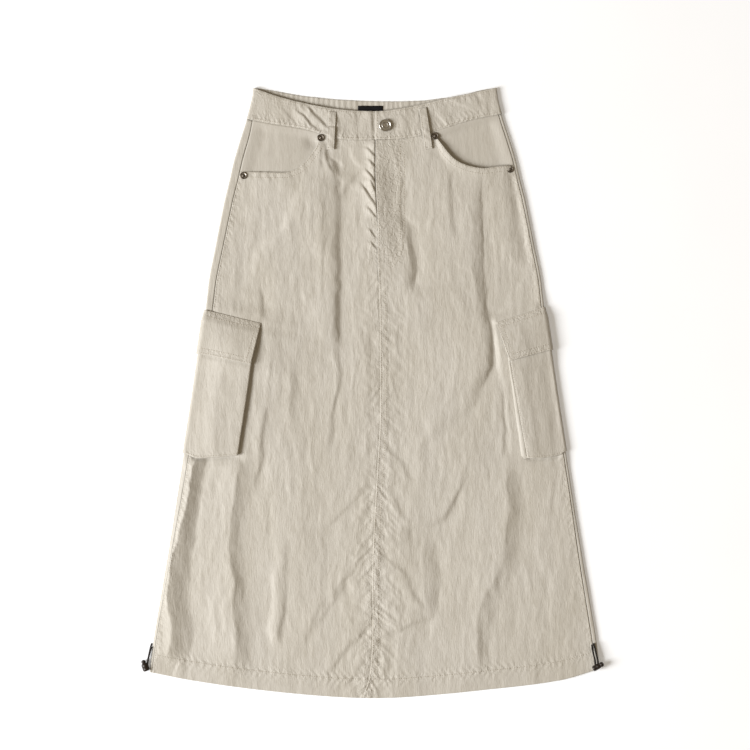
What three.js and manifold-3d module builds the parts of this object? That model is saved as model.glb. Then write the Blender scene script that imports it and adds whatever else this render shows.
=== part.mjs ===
// A calf-length cargo skirt in crinkled nylon, laid flat on its back with its front up.
// Millimetres. X runs across the skirt, Y up to the waist and Z up from the table.
// The origin is on the table, under the middle of the skirt.
import * as THREE from 'three';
import { mergeVertices } from 'three/addons/utils/BufferGeometryUtils.js';
import Module from 'manifold-3d';

const wasm = await Module();
wasm.setup();

// Walls of the cloth pieces.
const PANEL = 1.2;
const BAND = 2.0;
const FACING = 1.0;
const GUSSET = 1.0;
const FACE = 1.2;
const FLAP = 1.6;
const LOOP = 1.6;
const LABEL = 0.8;

// Pieces that lie on one another, and edges that meet at a seam, stand this far apart.
const GAP = 0.3;
const SEAM_GAP = 0.7;

// Radius of the cloth's middle at the side folds of the skirt and of the waistband.
const FOLD = 1.9;
const BAND_FOLD = 2.5;
const QUARTER = (Math.PI / 2) * FOLD;

// Height of the front cloth's middle, in the body and at the hip.
const BODY_LEVEL = 4.2;
const HIP_LEVEL = 5.6;

// How far the right front stands over the left one where they lap, and how wide they lap.
const LAP_RISE = 1.8;
const LAP = 8;
const FLY_LAP = 26;

// The laid skirt's half width.
const outline = [
  { y: -420.5, half: 314 },
  { y: -380.5, half: 309.8 },
  { y: -342, half: 305 },
  { y: -287, half: 296 },
  { y: -218, half: 284.3 },
  { y: -149, half: 273.2 },
  { y: -86.5, half: 263.6 },
  { y: -11, half: 251.8 },
  { y: 45, half: 243.5 },
  { y: 114, half: 233.2 },
  { y: 155, half: 228.7 },
  { y: 196, half: 220.8 },
  { y: 265, half: 207 },
  { y: 293, half: 200.1 },
  { y: 320.6, half: 193.9 },
  { y: 348, half: 185.6 },
  { y: 376, half: 176.6 },
  { y: 403, half: 169.7 },
  { y: 420, half: 167 },
];

// The front's upper edge at the waistband.
const topEdgeFront = [
  { x: -168, y: 420 },
  { x: -134, y: 408 },
  { x: -90, y: 397 },
  { x: -51, y: 390.4 },
  { x: -21, y: 388 },
  { x: 4, y: 387.5 },
  { x: 21, y: 389 },
  { x: 62, y: 396.5 },
  { x: 101, y: 406 },
  { x: 131, y: 412 },
  { x: 168, y: 420 },
];

// The back's upper edge shows above the front's.
const topEdgeBack = [
  { x: -168, y: 420 },
  { x: -145, y: 416.5 },
  { x: -103, y: 409 },
  { x: -48, y: 403.4 },
  { x: 14, y: 401 },
  { x: 62, y: 402 },
  { x: 90, y: 405.4 },
  { x: 117, y: 409 },
  { x: 145, y: 416.5 },
  { x: 168, y: 420 },
];

const waistSeamFront = [
  { x: -175, y: 376 },
  { x: -137, y: 369 },
  { x: -102, y: 363.4 },
  { x: -76, y: 356.5 },
  { x: -51, y: 349 },
  { x: 4, y: 347.5 },
  { x: 32, y: 349 },
  { x: 57, y: 352.3 },
  { x: 91, y: 362 },
  { x: 132.5, y: 375 },
  { x: 174, y: 383.4 },
];

const waistSeamBack = [
  { x: -175, y: 376 },
  { x: -90, y: 366 },
  { x: 0, y: 361.5 },
  { x: 90, y: 367 },
  { x: 174, y: 383.4 },
];

const hemEdge = [
  { x: -309, y: -386 },
  { x: -252.5, y: -397 },
  { x: -153, y: -410.8 },
  { x: -43, y: -420.3 },
  { x: 33, y: -420.5 },
  { x: 143.5, y: -410.8 },
  { x: 254, y: -397 },
  { x: 310.5, y: -380.5 },
];

// The centre-front seam, where the right front's edge lies on the left front.
const centreSeam = [
  { y: -418, x: -16 },
  { y: -390, x: -7.6 },
  { y: -336, x: -3.6 },
  { y: -231, x: -3.4 },
  { y: -80, x: 4.7 },
  { y: -38, x: 6.9 },
  { y: 58, x: 6.9 },
  { y: 127, x: 6.2 },
  { y: 185, x: 3.5 },
  { y: 228, x: 4.1 },
  { y: 294, x: 0.8 },
  { y: 348, x: 0.8 },
];

// The side seams lie this far in from the skirt's edge.
const sideSeamLeft = [
  { y: -386, inset: 3.2 },
  { y: -218, inset: 4.6 },
  { y: -93, inset: 7 },
  { y: 127, inset: 9.7 },
  { y: 300, inset: 11.5 },
  { y: 350, inset: 11 },
  { y: 376, inset: 8 },
];

const sideSeamRight = [
  { y: -380, inset: 5.6 },
  { y: -273, inset: 5.2 },
  { y: -149, inset: 3.2 },
  { y: -93, inset: 3.2 },
  { y: 265, inset: 3.6 },
  { y: 376, inset: 4 },
];

// The scoop pockets' edges, from the side seam to the rivet by the waist.
const scoopLeft = [
  { x: -190, y: 304.6 },
  { x: -178, y: 304.3 },
  { x: -145, y: 303.4 },
  { x: -121.5, y: 303.4 },
  { x: -112, y: 306.8 },
  { x: -105, y: 309.6 },
  { x: -95.6, y: 319.2 },
  { x: -82.8, y: 336 },
  { x: -75.9, y: 346.8 },
];

const scoopRight = [
  { x: 82.7, y: 354 },
  { x: 94.4, y: 338.5 },
  { x: 102, y: 329 },
  { x: 113, y: 319.2 },
  { x: 129, y: 312.3 },
  { x: 149, y: 308.9 },
  { x: 170, y: 311.2 },
  { x: 185, y: 312.8 },
  { x: 194, y: 313.4 },
];

// Cargo pockets. d is the distance in from the skirt's edge; the same lines run on behind.
const cargoLeft = {
  side: -1,
  rear: 72,
  flapTop: [{ d: 0, y: 113.5 }, { d: 81, y: 94.5 }],
  flapBottom: [{ d: 0, y: 52.9 }, { d: 16, y: 50.1 }, { d: 76, y: 37.7 }],
  bodyBottom: [{ d: 0, y: -83.8 }, { d: 18, y: -90 }, { d: 45, y: -89.3 }, { d: 76, y: -86.5 }],
  flapInner: { top: 80, bottom: 75 },
  faceInner: { top: 75.5, bottom: 76 },
  flare: { top: 0.4, bottom: 0.8 },
};

const cargoRight = {
  side: 1,
  rear: 90,
  flapTop: [{ d: 0, y: 117.7 }, { d: 70, y: 96.3 }],
  flapBottom: [{ d: 0, y: 58.4 }, { d: 60, y: 43.2 }],
  bodyBottom: [{ d: 0, y: -80.6 }, { d: 9, y: -86 }, { d: 31, y: -90 }, { d: 56, y: -90.7 }],
  flapInner: { top: 70, bottom: 60 },
  faceInner: { top: 60, bottom: 55.7 },
  flare: { top: 0.4, bottom: 7.4 },
};

// How high a cargo pocket's front half stands off the skirt, past its flat edge.
const POCKET_RISE = 3.1;

// The largest folds of the front: a soft ridge, or a trough where rise is below zero,
// from one end to the other, bowed sideways in the middle, with a width on either hand.
const folds = [
  { from: [-247, -96], to: [-283, -392], bow: -13, rise: 3.4, left: 9, right: 8 },
  { from: [-238, -100], to: [-256, -380], bow: -1, rise: -1.9, left: 8, right: 10 },
  { from: [-212, -112], to: [-246, -385], bow: -12, rise: 1.8, left: 8, right: 12 },
  { from: [-153, -8], to: [-187, -372], bow: -20, rise: 4.4, left: 24, right: 9 },
  { from: [-150, -60], to: [-172, -340], bow: -16, rise: -1.5, left: 9, right: 16 },
  { from: [-74, 322], to: [-48, 50], bow: 3, rise: 4.8, left: 15, right: 8 },
  { from: [-46, 54], to: [-57, -40], bow: 3, rise: 2.6, left: 9, right: 10 },
  { from: [-60, 5], to: [-72, -96], bow: 0, rise: -1.5, left: 8, right: 9 },
  { from: [-33, 296], to: [-23, 130], bow: -4, rise: 3.2, left: 12, right: 12 },
  { from: [34, 264], to: [59, 118], bow: 5, rise: -2.1, left: 12, right: 7 },
  { from: [50, 266], to: [69, 108], bow: 4, rise: 3.6, left: 8, right: 16 },
  { from: [103, 318], to: [104, 200], bow: 0, rise: -1.6, left: 10, right: 10 },
  { from: [143, 275], to: [150, 100], bow: 0, rise: -1.9, left: 9, right: 12 },
  { from: [158, 250], to: [160, 130], bow: 0, rise: 2.0, left: 9, right: 13 },
  { from: [150, 90], to: [116, -48], bow: 10, rise: -1.9, left: 10, right: 10 },
  { from: [-124, 262], to: [-170, 140], bow: 4, rise: 3.0, left: 10, right: 13 },
  { from: [-152, 150], to: [-155, 92], bow: 0, rise: -1.5, left: 7, right: 9 },
  { from: [-188, 225], to: [-186, 130], bow: 0, rise: -1.6, left: 9, right: 9 },
  { from: [136, -104], to: [60, -190], bow: 10, rise: 2.4, left: 9, right: 12 },
  { from: [168, -108], to: [134, -372], bow: 14, rise: -1.9, left: 10, right: 12 },
  { from: [196, -108], to: [176, -340], bow: 6, rise: 2.6, left: 14, right: 18 },
  { from: [81, -214], to: [87, -330], bow: 3, rise: 3.0, left: 8, right: 16 },
  { from: [-141, -222], to: [-138, -385], bow: 0, rise: 3.0, left: 16, right: 8 },
  { from: [-101, -250], to: [-102, -372], bow: 0, rise: 1.6, left: 9, right: 8 },
  { from: [-17, -228], to: [-94, -300], bow: -6, rise: 2.0, left: 8, right: 10 },
  { from: [-6, -300], to: [-68, -384], bow: -4, rise: 2.2, left: 8, right: 9 },
  { from: [-48, -160], to: [-12, -226], bow: -6, rise: 1.7, left: 8, right: 9 },
  { from: [8, -186], to: [70, -264], bow: 6, rise: 1.7, left: 9, right: 8 },
  { from: [246, -130], to: [272, -330], bow: 4, rise: 1.9, left: 14, right: 9 },
  { from: [-118, 60], to: [-122, -50], bow: 0, rise: 1.8, left: 14, right: 10 },
  { from: [84, 60], to: [76, -70], bow: -4, rise: 1.8, left: 12, right: 14 },
];

// The right scoop pocket gapes: its edge stands off the facing.
const gape = { from: [92, 346], to: [172, 306], bow: -9, rise: 2.4, left: 12, right: 12 };

// Small slanting folds in the waistband.
const bandFolds = [
  { from: [-112, 396], to: [-78, 356], bow: 0, rise: 1.2, left: 5, right: 6 },
  { from: [-96, 394], to: [-66, 362], bow: 0, rise: 1.0, left: 4, right: 6 },
  { from: [92, 396], to: [136, 386], bow: 3, rise: 1.0, left: 5, right: 5 },
];

const cloth = { color: 0xc9c1b1, roughness: 0.62, metalness: 0 };
const facingCloth = { color: 0xc2baa9, roughness: 0.66, metalness: 0 };
const labelCloth = { color: 0x17171a, roughness: 0.8, metalness: 0 };
const silver = { color: 0xc4c2bd, roughness: 0.3, metalness: 1 };
const antique = { color: 0x77706a, roughness: 0.4, metalness: 1 };
const cordBlack = { color: 0x2b2622, roughness: 0.75, metalness: 0 };
const lockBrown = { color: 0x2f241d, roughness: 0.35, metalness: 0 };

const mix = (a, b, t) => a + (b - a) * t;
const step = (a, b, x) => {
  const t = Math.min(Math.max((x - a) / (b - a), 0), 1);
  return t * t * (3 - 2 * t);
};

// A smooth line through the rows of a table, straight on past its ends.
function follow(rows, from, to) {
  const list = [...rows].sort((a, b) => a[from] - b[from]);
  const t = list.map((row) => row[from]);
  const v = list.map((row) => row[to]);
  const last = t.length - 1;
  const slope = t.map((_, i) => {
    const a = Math.max(i - 1, 0);
    const b = Math.min(i + 1, last);
    return (v[b] - v[a]) / (t[b] - t[a]);
  });
  return (x) => {
    if (x <= t[0]) return v[0] + slope[0] * (x - t[0]);
    if (x >= t[last]) return v[last] + slope[last] * (x - t[last]);
    let i = 0;
    while (x > t[i + 1]) i += 1;
    const width = t[i + 1] - t[i];
    const u = (x - t[i]) / width;
    const bend = u * (1 - u) * width;
    const straight = mix(v[i], v[i + 1], u * u * (3 - 2 * u));
    return straight + bend * ((1 - u) * slope[i] - u * slope[i + 1]);
  };
}

const halfWidth = follow(outline, 'y', 'half');
const topFront = follow(topEdgeFront, 'x', 'y');
const topBack = follow(topEdgeBack, 'x', 'y');
const seamFront = follow(waistSeamFront, 'x', 'y');
const seamBack = follow(waistSeamBack, 'x', 'y');
const hem = follow(hemEdge, 'x', 'y');
const centre = follow(centreSeam, 'y', 'x');
const insetLeft = follow(sideSeamLeft, 'y', 'inset');
const insetRight = follow(sideSeamRight, 'y', 'inset');
const scoopL = follow(scoopLeft, 'x', 'y');
const scoopR = follow(scoopRight, 'x', 'y');
const inset = (side, y) => (side < 0 ? insetLeft(y) : insetRight(y));
const lapWidth = (y) => mix(LAP, FLY_LAP, step(120, 150, y));

for (const cargo of [cargoLeft, cargoRight]) {
  cargo.flapTopAt = follow(cargo.flapTop, 'd', 'y');
  cargo.flapBottomAt = follow(cargo.flapBottom, 'd', 'y');
  cargo.bottomAt = follow(cargo.bodyBottom, 'd', 'y');
}

// Distance in from the skirt's edge, and the cargo pocket on that side.
const edgeDistance = (x, y) => halfWidth(y) - Math.abs(x);
const cargoAt = (x) => (x < 0 ? cargoLeft : cargoRight);

// How far the pocket's layers behind lift the skirt off the table.
function pocketLift(cargo, d, y) {
  const top = cargo.flapTopAt(d);
  const bottom = cargo.flapBottomAt(d);
  const end = cargo.bottomAt(d);
  const flap = 2.3 * step(top + 28, top, y) + 1.6 * step(top, top - 16, y);
  const below = 2.2 * step(bottom, bottom - 26, y);
  const out = 1.7 * step(end, end - 28, y);
  return flap - below - out;
}

function backHeight(side, d, y) {
  const cargo = cargoAt(side);
  return PANEL / 2 + pocketLift(cargo, d, y) * (1 - step(cargo.rear + 3, cargo.rear + 45, d));
}

// Height of one fold at a place.
function foldHeight(fold, x, y) {
  const ax = fold.to[0] - fold.from[0];
  const ay = fold.to[1] - fold.from[1];
  const length = Math.hypot(ax, ay);
  const t = ((x - fold.from[0]) * ax + (y - fold.from[1]) * ay) / (length * length);
  if (t <= 0 || t >= 1) return 0;
  const bow = fold.bow * 4 * t * (1 - t);
  const across = ((x - fold.from[0]) * ay - (y - fold.from[1]) * ax) / length;
  const away = (ay < 0 ? -across : across) - bow;
  const width = away < 0 ? fold.left : fold.right;
  const ends = step(0, 0.16, t) * step(1, 0.84, t);
  return fold.rise * ends * Math.exp(-((away / width) ** 2));
}

// Nothing folds under the pockets, at the side seams or along the pocket facings.
function foldRoom(x, y) {
  const d = edgeDistance(x, y);
  const cargo = cargoAt(x);
  const inside = step(cargo.flapInner.top + 16, cargo.flapInner.top + 2, d);
  const beside = step(cargo.flapTopAt(d) + 18, cargo.flapTopAt(d) + 2, y);
  const under = step(cargo.bottomAt(d) - 22, cargo.bottomAt(d) - 9, y);
  const seam = step(3, 14, d - inset(Math.sign(x), y));
  const facing = step(340, 296, y) + step(70, 40, Math.abs(x));
  return (1 - inside * beside * under) * seam * Math.min(facing, 1);
}

function foldsAt(x, y) {
  let sum = 0;
  for (const fold of folds) sum += foldHeight(fold, x, y);
  return sum * foldRoom(x, y);
}

// The front cloth's middle without its folds.
function frontBase(x, y) {
  const d = Math.max(edgeDistance(x, y) - FOLD, 0);
  const cargo = cargoAt(x);
  const level = mix(BODY_LEVEL, HIP_LEVEL, step(225, 285, y));
  const side = Math.exp(-((d / 26) ** 2));
  const pocket = 1 - step(cargo.rear + 14, cargo.rear + 62, d);
  return mix(level, PANEL / 2 + 2 * FOLD, side) + pocketLift(cargo, d, y) * pocket;
}

// Keeps a height above a floor without a sharp corner.
function keepAbove(floor, z) {
  const over = z - floor;
  return floor + (over + Math.sqrt(over * over + 0.16)) / 2;
}

function frontLeftHeight(x, y) {
  return keepAbove(2.2, frontBase(x, y) + foldsAt(x, y));
}

function frontRightHeight(x, y) {
  const lap = centre(y) + lapWidth(y);
  const over = 1 - step(lap + 4, lap + 34, x);
  const open = foldHeight(gape, x, y) * step(2, 14, edgeDistance(x, y));
  return frontLeftHeight(x, y) + LAP_RISE * over + open;
}

function bandHeight(x, y) {
  let z = BAND / 2 + 2 * BAND_FOLD;
  for (const fold of bandFolds) z += foldHeight(fold, x, y);
  return z;
}

// How far the waistband's upper end stands over its lower one.
const bandLap = (x) => (BAND + GAP) * (1 - step(34, 62, x));

// A closed wall between two grids of points, rows down the skirt and columns to the right
// of the outer face.
function wall(outer, inner) {
  const rows = outer.length;
  const columns = outer[0].length;
  const points = [];
  const at = (layer, i, j) => (layer * rows + i) * columns + j;
  for (const layer of [outer, inner]) {
    for (const row of layer) {
      for (const point of row) points.push(...point);
    }
  }
  const faces = [];
  for (let i = 0; i + 1 < rows; i += 1) {
    for (let j = 0; j + 1 < columns; j += 1) {
      faces.push(at(0, i, j), at(0, i + 1, j), at(0, i + 1, j + 1));
      faces.push(at(0, i, j), at(0, i + 1, j + 1), at(0, i, j + 1));
      faces.push(at(1, i, j), at(1, i + 1, j + 1), at(1, i + 1, j));
      faces.push(at(1, i, j), at(1, i, j + 1), at(1, i + 1, j + 1));
    }
  }
  const rim = (i, j, k, l) => {
    faces.push(at(0, i, j), at(0, k, l), at(1, k, l));
    faces.push(at(0, i, j), at(1, k, l), at(1, i, j));
  };
  for (let j = 0; j + 1 < columns; j += 1) {
    rim(0, j, 0, j + 1);
    rim(rows - 1, j + 1, rows - 1, j);
  }
  for (let i = 0; i + 1 < rows; i += 1) {
    rim(i + 1, 0, i, 0);
    rim(i, columns - 1, i + 1, columns - 1);
  }
  const geometry = new THREE.BufferGeometry();
  geometry.setAttribute('position', new THREE.Float32BufferAttribute(points, 3));
  geometry.setIndex(faces);
  geometry.computeVertexNormals();
  return geometry;
}

// Repeats a step until the value settles.
function settle(start, next) {
  let value = start;
  for (let i = 0; i < 40; i += 1) value = next(value);
  return value;
}

// A panel laid over its plan: four edges, a height for each place, and an even wall.
function patch(edges, across, down, height, thickness) {
  const outer = down.map(() => []);
  const inner = down.map(() => []);
  for (const u of across) {
    const xAt = (y) => mix(edges.left(y), edges.right(y), u);
    const top = settle(350, (y) => edges.top(xAt(y)));
    const bottom = settle(-400, (y) => edges.bottom(xAt(y)));
    down.forEach((v, i) => {
      const y = mix(top, bottom, v);
      const x = xAt(y);
      const z = height(x, y);
      const gx = (height(x + 1, y) - height(x - 1, y)) / 2;
      const gy = (height(x, y + 1) - height(x, y - 1)) / 2;
      const half = (thickness / 2) * Math.min(Math.hypot(1, gx, gy), 1.25);
      outer[i].push([x, y, z + half]);
      inner[i].push([x, y, z - half]);
    });
  }
  return wall(outer, inner);
}

// A point on the skirt's tube. s runs round the side fold: 0 at the skirt's edge,
// above zero on the front and below zero on the back. offset is outward.
function tubePoint(side, s, y, offset) {
  const reach = halfWidth(y) - FOLD;
  if (s > QUARTER) {
    const x = side * (reach - (s - QUARTER));
    return [x, y, frontBase(x, y) + offset];
  }
  if (s < -QUARTER) {
    const x = side * (reach + (s + QUARTER));
    return [x, y, backHeight(side, FOLD - s - QUARTER, y) - offset];
  }
  const angle = s / FOLD;
  const radius = FOLD + offset;
  const middle = backHeight(side, 0, y) + FOLD;
  return [side * (reach + radius * Math.cos(angle)), y, middle + radius * Math.sin(angle)];
}

// Stations round the side fold, from the front to the back.
const turn = [1, 0.5, 0, -0.5, -1].map((part) => part * QUARTER);

// Rows of the front panels, closer at the pockets' ends.
const panelLevels = [303, 275, 245, 215, 185, 155, 135, 118, 100, 72, 54, 40, 26, 0, -40, -74, -91, -103,
  -125, -160, -200, -240, -285, -330, -370, -397];
const panelRows = panelLevels.map((y) => (303 - y) / 700);

const even = (count) => Array.from({ length: count + 1 }, (_, i) => i / count);

function frontLeft() {
  const edges = {
    left: (y) => -(halfWidth(y) - inset(-1, y) - SEAM_GAP / 2),
    right: (y) => centre(y) + lapWidth(y),
    top: (x) => (x < -75.9 ? scoopL(x) : seamFront(x) - SEAM_GAP / 2),
    bottom: hem,
  };
  const corner = [-75.9, 346.8];
  const reach = edges.right(corner[1]) - edges.left(corner[1]);
  const rivet = (corner[0] - 0.001 - edges.left(corner[1])) / reach;
  const across = [0, 0.025, 0.055, 0.09, 0.13, 0.18, 0.23, 0.28, 0.33, 0.38, 0.42, 0.455, rivet,
    rivet + 0.012, 0.55, 0.6, 0.65, 0.7, 0.76, 0.82, 0.88, 0.94, 1];
  return patch(edges, across, panelRows, frontLeftHeight, PANEL);
}

function frontRight() {
  const edges = {
    left: centre,
    right: (y) => halfWidth(y) - inset(1, y) - SEAM_GAP / 2,
    top: (x) => (x > 82.7 ? scoopR(x) : seamFront(x) - SEAM_GAP / 2),
    bottom: hem,
  };
  const corner = [82.7, 354];
  const reach = edges.right(corner[1]) - edges.left(corner[1]);
  const rivet = (corner[0] + 0.001 - edges.left(corner[1])) / reach;
  const across = [0, 0.04, 0.09, 0.14, 0.19, 0.24, 0.29, 0.34, 0.39, rivet - 0.012, rivet,
    0.49, 0.53, 0.57, 0.62, 0.68, 0.74, 0.8, 0.86, 0.91, 0.955, 1];
  return patch(edges, across, panelRows, frontRightHeight, PANEL);
}

// The back runs round both side folds to the side seams on the front.
function back() {
  const stations = [];
  const behind = [-14, -45, -72, -95, -120];
  stations.push({ side: 1, seam: true });
  for (const s of [...turn, ...behind]) stations.push({ side: 1, s });
  for (const part of [0.2, 0.5, 0.8]) stations.push({ part });
  for (const s of [...turn, ...behind].reverse()) stations.push({ side: -1, s });
  stations.push({ side: -1, seam: true });
  const levels = [375, 345, 310, 275, 245, 215, 185, 155, 143, 134, 125, 116, 107, 98, 89, 80, 66, 54, 45,
    36, 26, 14, -30, -78, -88, -97, -106, -120, -160, -200, -240, -285, -330, -384];
  const down = levels.map((y) => (levels[0] - y) / (levels[0] - levels.at(-1)));
  const place = (station, y, offset) => {
    if (station.part !== undefined) {
      const edge = halfWidth(y) - FOLD - 120 + QUARTER;
      return [mix(edge, -edge, station.part), y, PANEL / 2 - offset];
    }
    const seam = inset(station.side, y) - SEAM_GAP / 2 + QUARTER - FOLD;
    return tubePoint(station.side, station.seam ? seam : station.s, y, offset);
  };
  const onFront = (station) => station.seam || station.s > 0;
  const outer = down.map(() => []);
  const inner = down.map(() => []);
  for (const station of stations) {
    const seam = onFront(station) ? seamFront : seamBack;
    const top = settle(375, (y) => seam(place(station, y, 0)[0]) - SEAM_GAP / 2);
    const bottom = settle(-385, (y) => hem(place(station, y, 0)[0]));
    down.forEach((v, i) => {
      const y = mix(top, bottom, v);
      outer[i].push(place(station, y, PANEL / 2));
      inner[i].push(place(station, y, -PANEL / 2));
    });
  }
  return wall(outer, inner);
}

// The waistband starts at the centre front, goes round the right side and the back,
// and ends under its own start.
function waistband() {
  const quarter = (Math.PI / 2) * BAND_FOLD;
  const fold = [1, 0.5, 0, -0.5, -1].map((part) => part * quarter);
  const place = (station, y, offset) => {
    if (station.x !== undefined) {
      const rise = station.over ? bandLap(station.x) : 0;
      const z = station.behind ? BAND / 2 - offset : bandHeight(station.x, y) + rise + offset;
      return [station.x, y, z];
    }
    const angle = station.s / BAND_FOLD;
    const radius = BAND_FOLD + offset;
    const x = halfWidth(y) - BAND_FOLD + radius * Math.cos(angle);
    return [station.side * x, y, BAND / 2 + BAND_FOLD + radius * Math.sin(angle)];
  };
  const stations = [];
  for (const x of [0.5, 12, 24, 34, 41, 48, 55, 62, 76, 94, 104, 114, 126, 140, 156]) {
    stations.push({ x, over: true });
  }
  for (const s of fold) stations.push({ side: 1, s });
  for (const x of [150, 125, 100, 75, 50, 25, 0, -25, -50, -75, -100, -125, -150]) stations.push({ x, behind: true });
  for (const s of [...fold].reverse()) stations.push({ side: -1, s });
  for (const x of [-156, -140, -122, -110, -104, -98, -92, -86, -80, -74, -68, -58, -44, -28, -12, 4, 18, 32]) {
    stations.push({ x });
  }
  const outer = even(4).map(() => []);
  const inner = even(4).map(() => []);
  for (const station of stations) {
    const rear = station.behind || station.s < -0.01;
    const topAt = rear ? topBack : topFront;
    const seamAt = rear ? seamBack : seamFront;
    const top = settle(410, (y) => topAt(place(station, y, 0)[0]));
    const bottom = settle(375, (y) => seamAt(place(station, y, 0)[0]) + GAP / 2);
    even(4).forEach((v, i) => {
      const y = mix(top, bottom, v);
      outer[i].push(place(station, y, BAND / 2));
      inner[i].push(place(station, y, -BAND / 2));
    });
  }
  return wall(outer, inner);
}

// The hip piece that shows in a scoop pocket. It runs on under the front.
function hipFacing(side) {
  const under = 18;
  const left = {
    left: (y) => -(halfWidth(y) - inset(-1, y) - SEAM_GAP / 2),
    right: () => -60,
    top: (x) => seamFront(x) - SEAM_GAP / 2,
    bottom: (x) => scoopL(Math.min(x, -77)) - under,
  };
  const right = {
    left: () => 66,
    right: (y) => halfWidth(y) - inset(1, y) - SEAM_GAP / 2,
    top: (x) => seamFront(x) - SEAM_GAP / 2,
    bottom: (x) => scoopR(Math.max(x, 84)) - under,
  };
  const height = (x, y) => frontBase(x, y) - (PANEL + FACING) / 2 - 1.1;
  return patch(side < 0 ? left : right, even(12), even(5), height, FACING);
}

// Height that a cargo pocket's front half stands off the skirt.
const pocketRise = (d) => POCKET_RISE * step(2, 46, d);

// Stations round a cargo pocket piece, from its front edge to its rear edge.
function pocketStations(front, rear) {
  const ahead = [1, 0.8, 0.6, 0.45, 0.3, 0.12].map((part) => part * front);
  const behind = [-0.2, -0.5, -1].map((part) => part * rear);
  return [...ahead, ...turn, ...behind];
}

function pocketWall(cargo, front, top, bottom, down, offsetAt, thickness) {
  const outer = down.map(() => []);
  const inner = down.map(() => []);
  down.forEach((v, i) => {
    const stations = pocketStations(front(v), cargo.rear);
    if (cargo.side < 0) stations.reverse();
    for (const s of stations) {
      const d = Math.max(Math.abs(s) + FOLD - QUARTER, 0);
      const y = mix(top(d), bottom(d), v);
      const offset = offsetAt(s, d, y);
      outer[i].push(tubePoint(cargo.side, s, y, offset + thickness / 2));
      inner[i].push(tubePoint(cargo.side, s, y, offset - thickness / 2));
    }
  });
  return wall(outer, inner);
}

const FACE_OFFSET = PANEL / 2 + 0.5 + FACE / 2;
const FLAP_OFFSET = FACE_OFFSET + FACE / 2 + 0.6 + FLAP / 2;

function cargoFace(cargo) {
  const front = (v) => mix(cargo.faceInner.top, cargo.faceInner.bottom, v);
  const top = (d) => cargo.flapTopAt(d) - 17;
  const offset = (s, d) => FACE_OFFSET + (s > 0 ? pocketRise(d) : 0);
  const down = [0, 0.14, 0.25, 0.31, 0.37, 0.43, 0.5, 0.62, 0.75, 0.88, 1];
  return pocketWall(cargo, front, top, cargo.bottomAt, down, offset, FACE);
}

function cargoFlap(cargo) {
  const front = (v) => mix(cargo.flapInner.top, cargo.flapInner.bottom, v);
  const offset = (s, d, y) => {
    const down = step(cargo.flapTopAt(d), cargo.flapTopAt(d) - 16, y);
    const close = PANEL / 2 + 2 * GAP + FLAP / 2;
    return mix(close, FLAP_OFFSET + (s > 0 ? pocketRise(d) : 0), down);
  };
  const down = [0, 0.08, 0.16, 0.24, 0.4, 0.6, 0.8, 1];
  return pocketWall(cargo, front, cargo.flapTopAt, cargo.flapBottomAt, down, offset, FLAP);
}

// The gusset stands between the skirt and the pocket's face, down its inner side and
// along its bottom.
function cargoGusset(cargo) {
  const stations = [];
  const { side, faceInner, flare } = cargo;
  const topY = cargo.flapTopAt(faceInner.top) - 22;
  const bottomY = cargo.bottomAt(faceInner.bottom) + 1.2;
  for (const v of even(7)) {
    const d = mix(faceInner.top, faceInner.bottom, v) - 0.6;
    const y = mix(topY, bottomY + 2.5, v);
    stations.push({ d, y, out: [-side, 0], flare: mix(flare.top, flare.bottom, v ** 1.2) });
  }
  const corner = faceInner.bottom - 1.2;
  stations.push({ d: corner, y: bottomY + 0.6, out: [-side * 0.71, -0.71], flare: flare.bottom * 0.7 });
  for (const v of even(5)) {
    const d = mix(corner - 2.5, 33, v);
    stations.push({ d, y: cargo.bottomAt(d) + 1.2, out: [0, -1], flare: 0.6 });
  }
  const outer = [[], []];
  const inner = [[], []];
  const upper = (d) => FACE_OFFSET - FACE / 2 - 2 * GAP + pocketRise(d);
  const lower = PANEL / 2 + 2 * GAP + 0.2;
  for (const { d, y, out, flare: spread } of stations) {
    const height = upper(d) - lower;
    const lean = Math.hypot(height, spread + 0.4);
    const px = (GUSSET / 2) * (height / lean);
    const pz = (GUSSET / 2) * ((spread + 0.4) / lean);
    const x = side * (halfWidth(y) - d);
    const place = (reach, rise) => {
      const tx = x + out[0] * reach;
      const ty = y + out[1] * reach;
      return [tx, ty, frontBase(tx, ty) + rise];
    };
    outer[0].push(place(px - 0.4, upper(d) - pz + pz));
    inner[0].push(place(-px - 0.4, upper(d) - pz - pz));
    outer[1].push(place(px + spread, lower + pz + pz));
    inner[1].push(place(-px + spread, lower + pz - pz));
  }
  if (side < 0) {
    for (const row of [...outer, ...inner]) row.reverse();
  }
  return wall(outer, inner);
}

// A belt loop lies over the waistband and the top of the front panel.
function beltLoop(from, to, stand, under) {
  const down = even(9);
  const width = 10.3;
  const length = Math.hypot(to[0] - from[0], to[1] - from[1]);
  const ux = (to[1] - from[1]) / length;
  const uy = -(to[0] - from[0]) / length;
  const outer = [];
  const inner = [];
  for (const v of down) {
    const x = mix(from[0], to[0], v);
    const y = mix(from[1], to[1], v);
    let z = 0;
    for (const dx of [-6, 0, 6]) {
      for (const dy of [-6, -3, 0, 3, 6]) z = Math.max(z, under(x + dx, y + dy));
    }
    z += GAP + LOOP / 2 + stand * Math.sin(Math.PI * v) ** 0.7;
    const row = [-0.5, -0.17, 0.17, 0.5].map((part) => [x - ux * width * part, y - uy * width * part]);
    outer.push(row.map(([px, py]) => [px, py, z + LOOP / 2]));
    inner.push(row.map(([px, py]) => [px, py, z - LOOP / 2]));
  }
  return wall(outer, inner);
}

// The outer surface of the front, waistband and panels together.
function surfaceLeft(x, y) {
  if (y > seamFront(x) - 1) return bandHeight(x, y) + BAND / 2;
  return frontLeftHeight(x, y) + 0.8;
}

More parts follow.
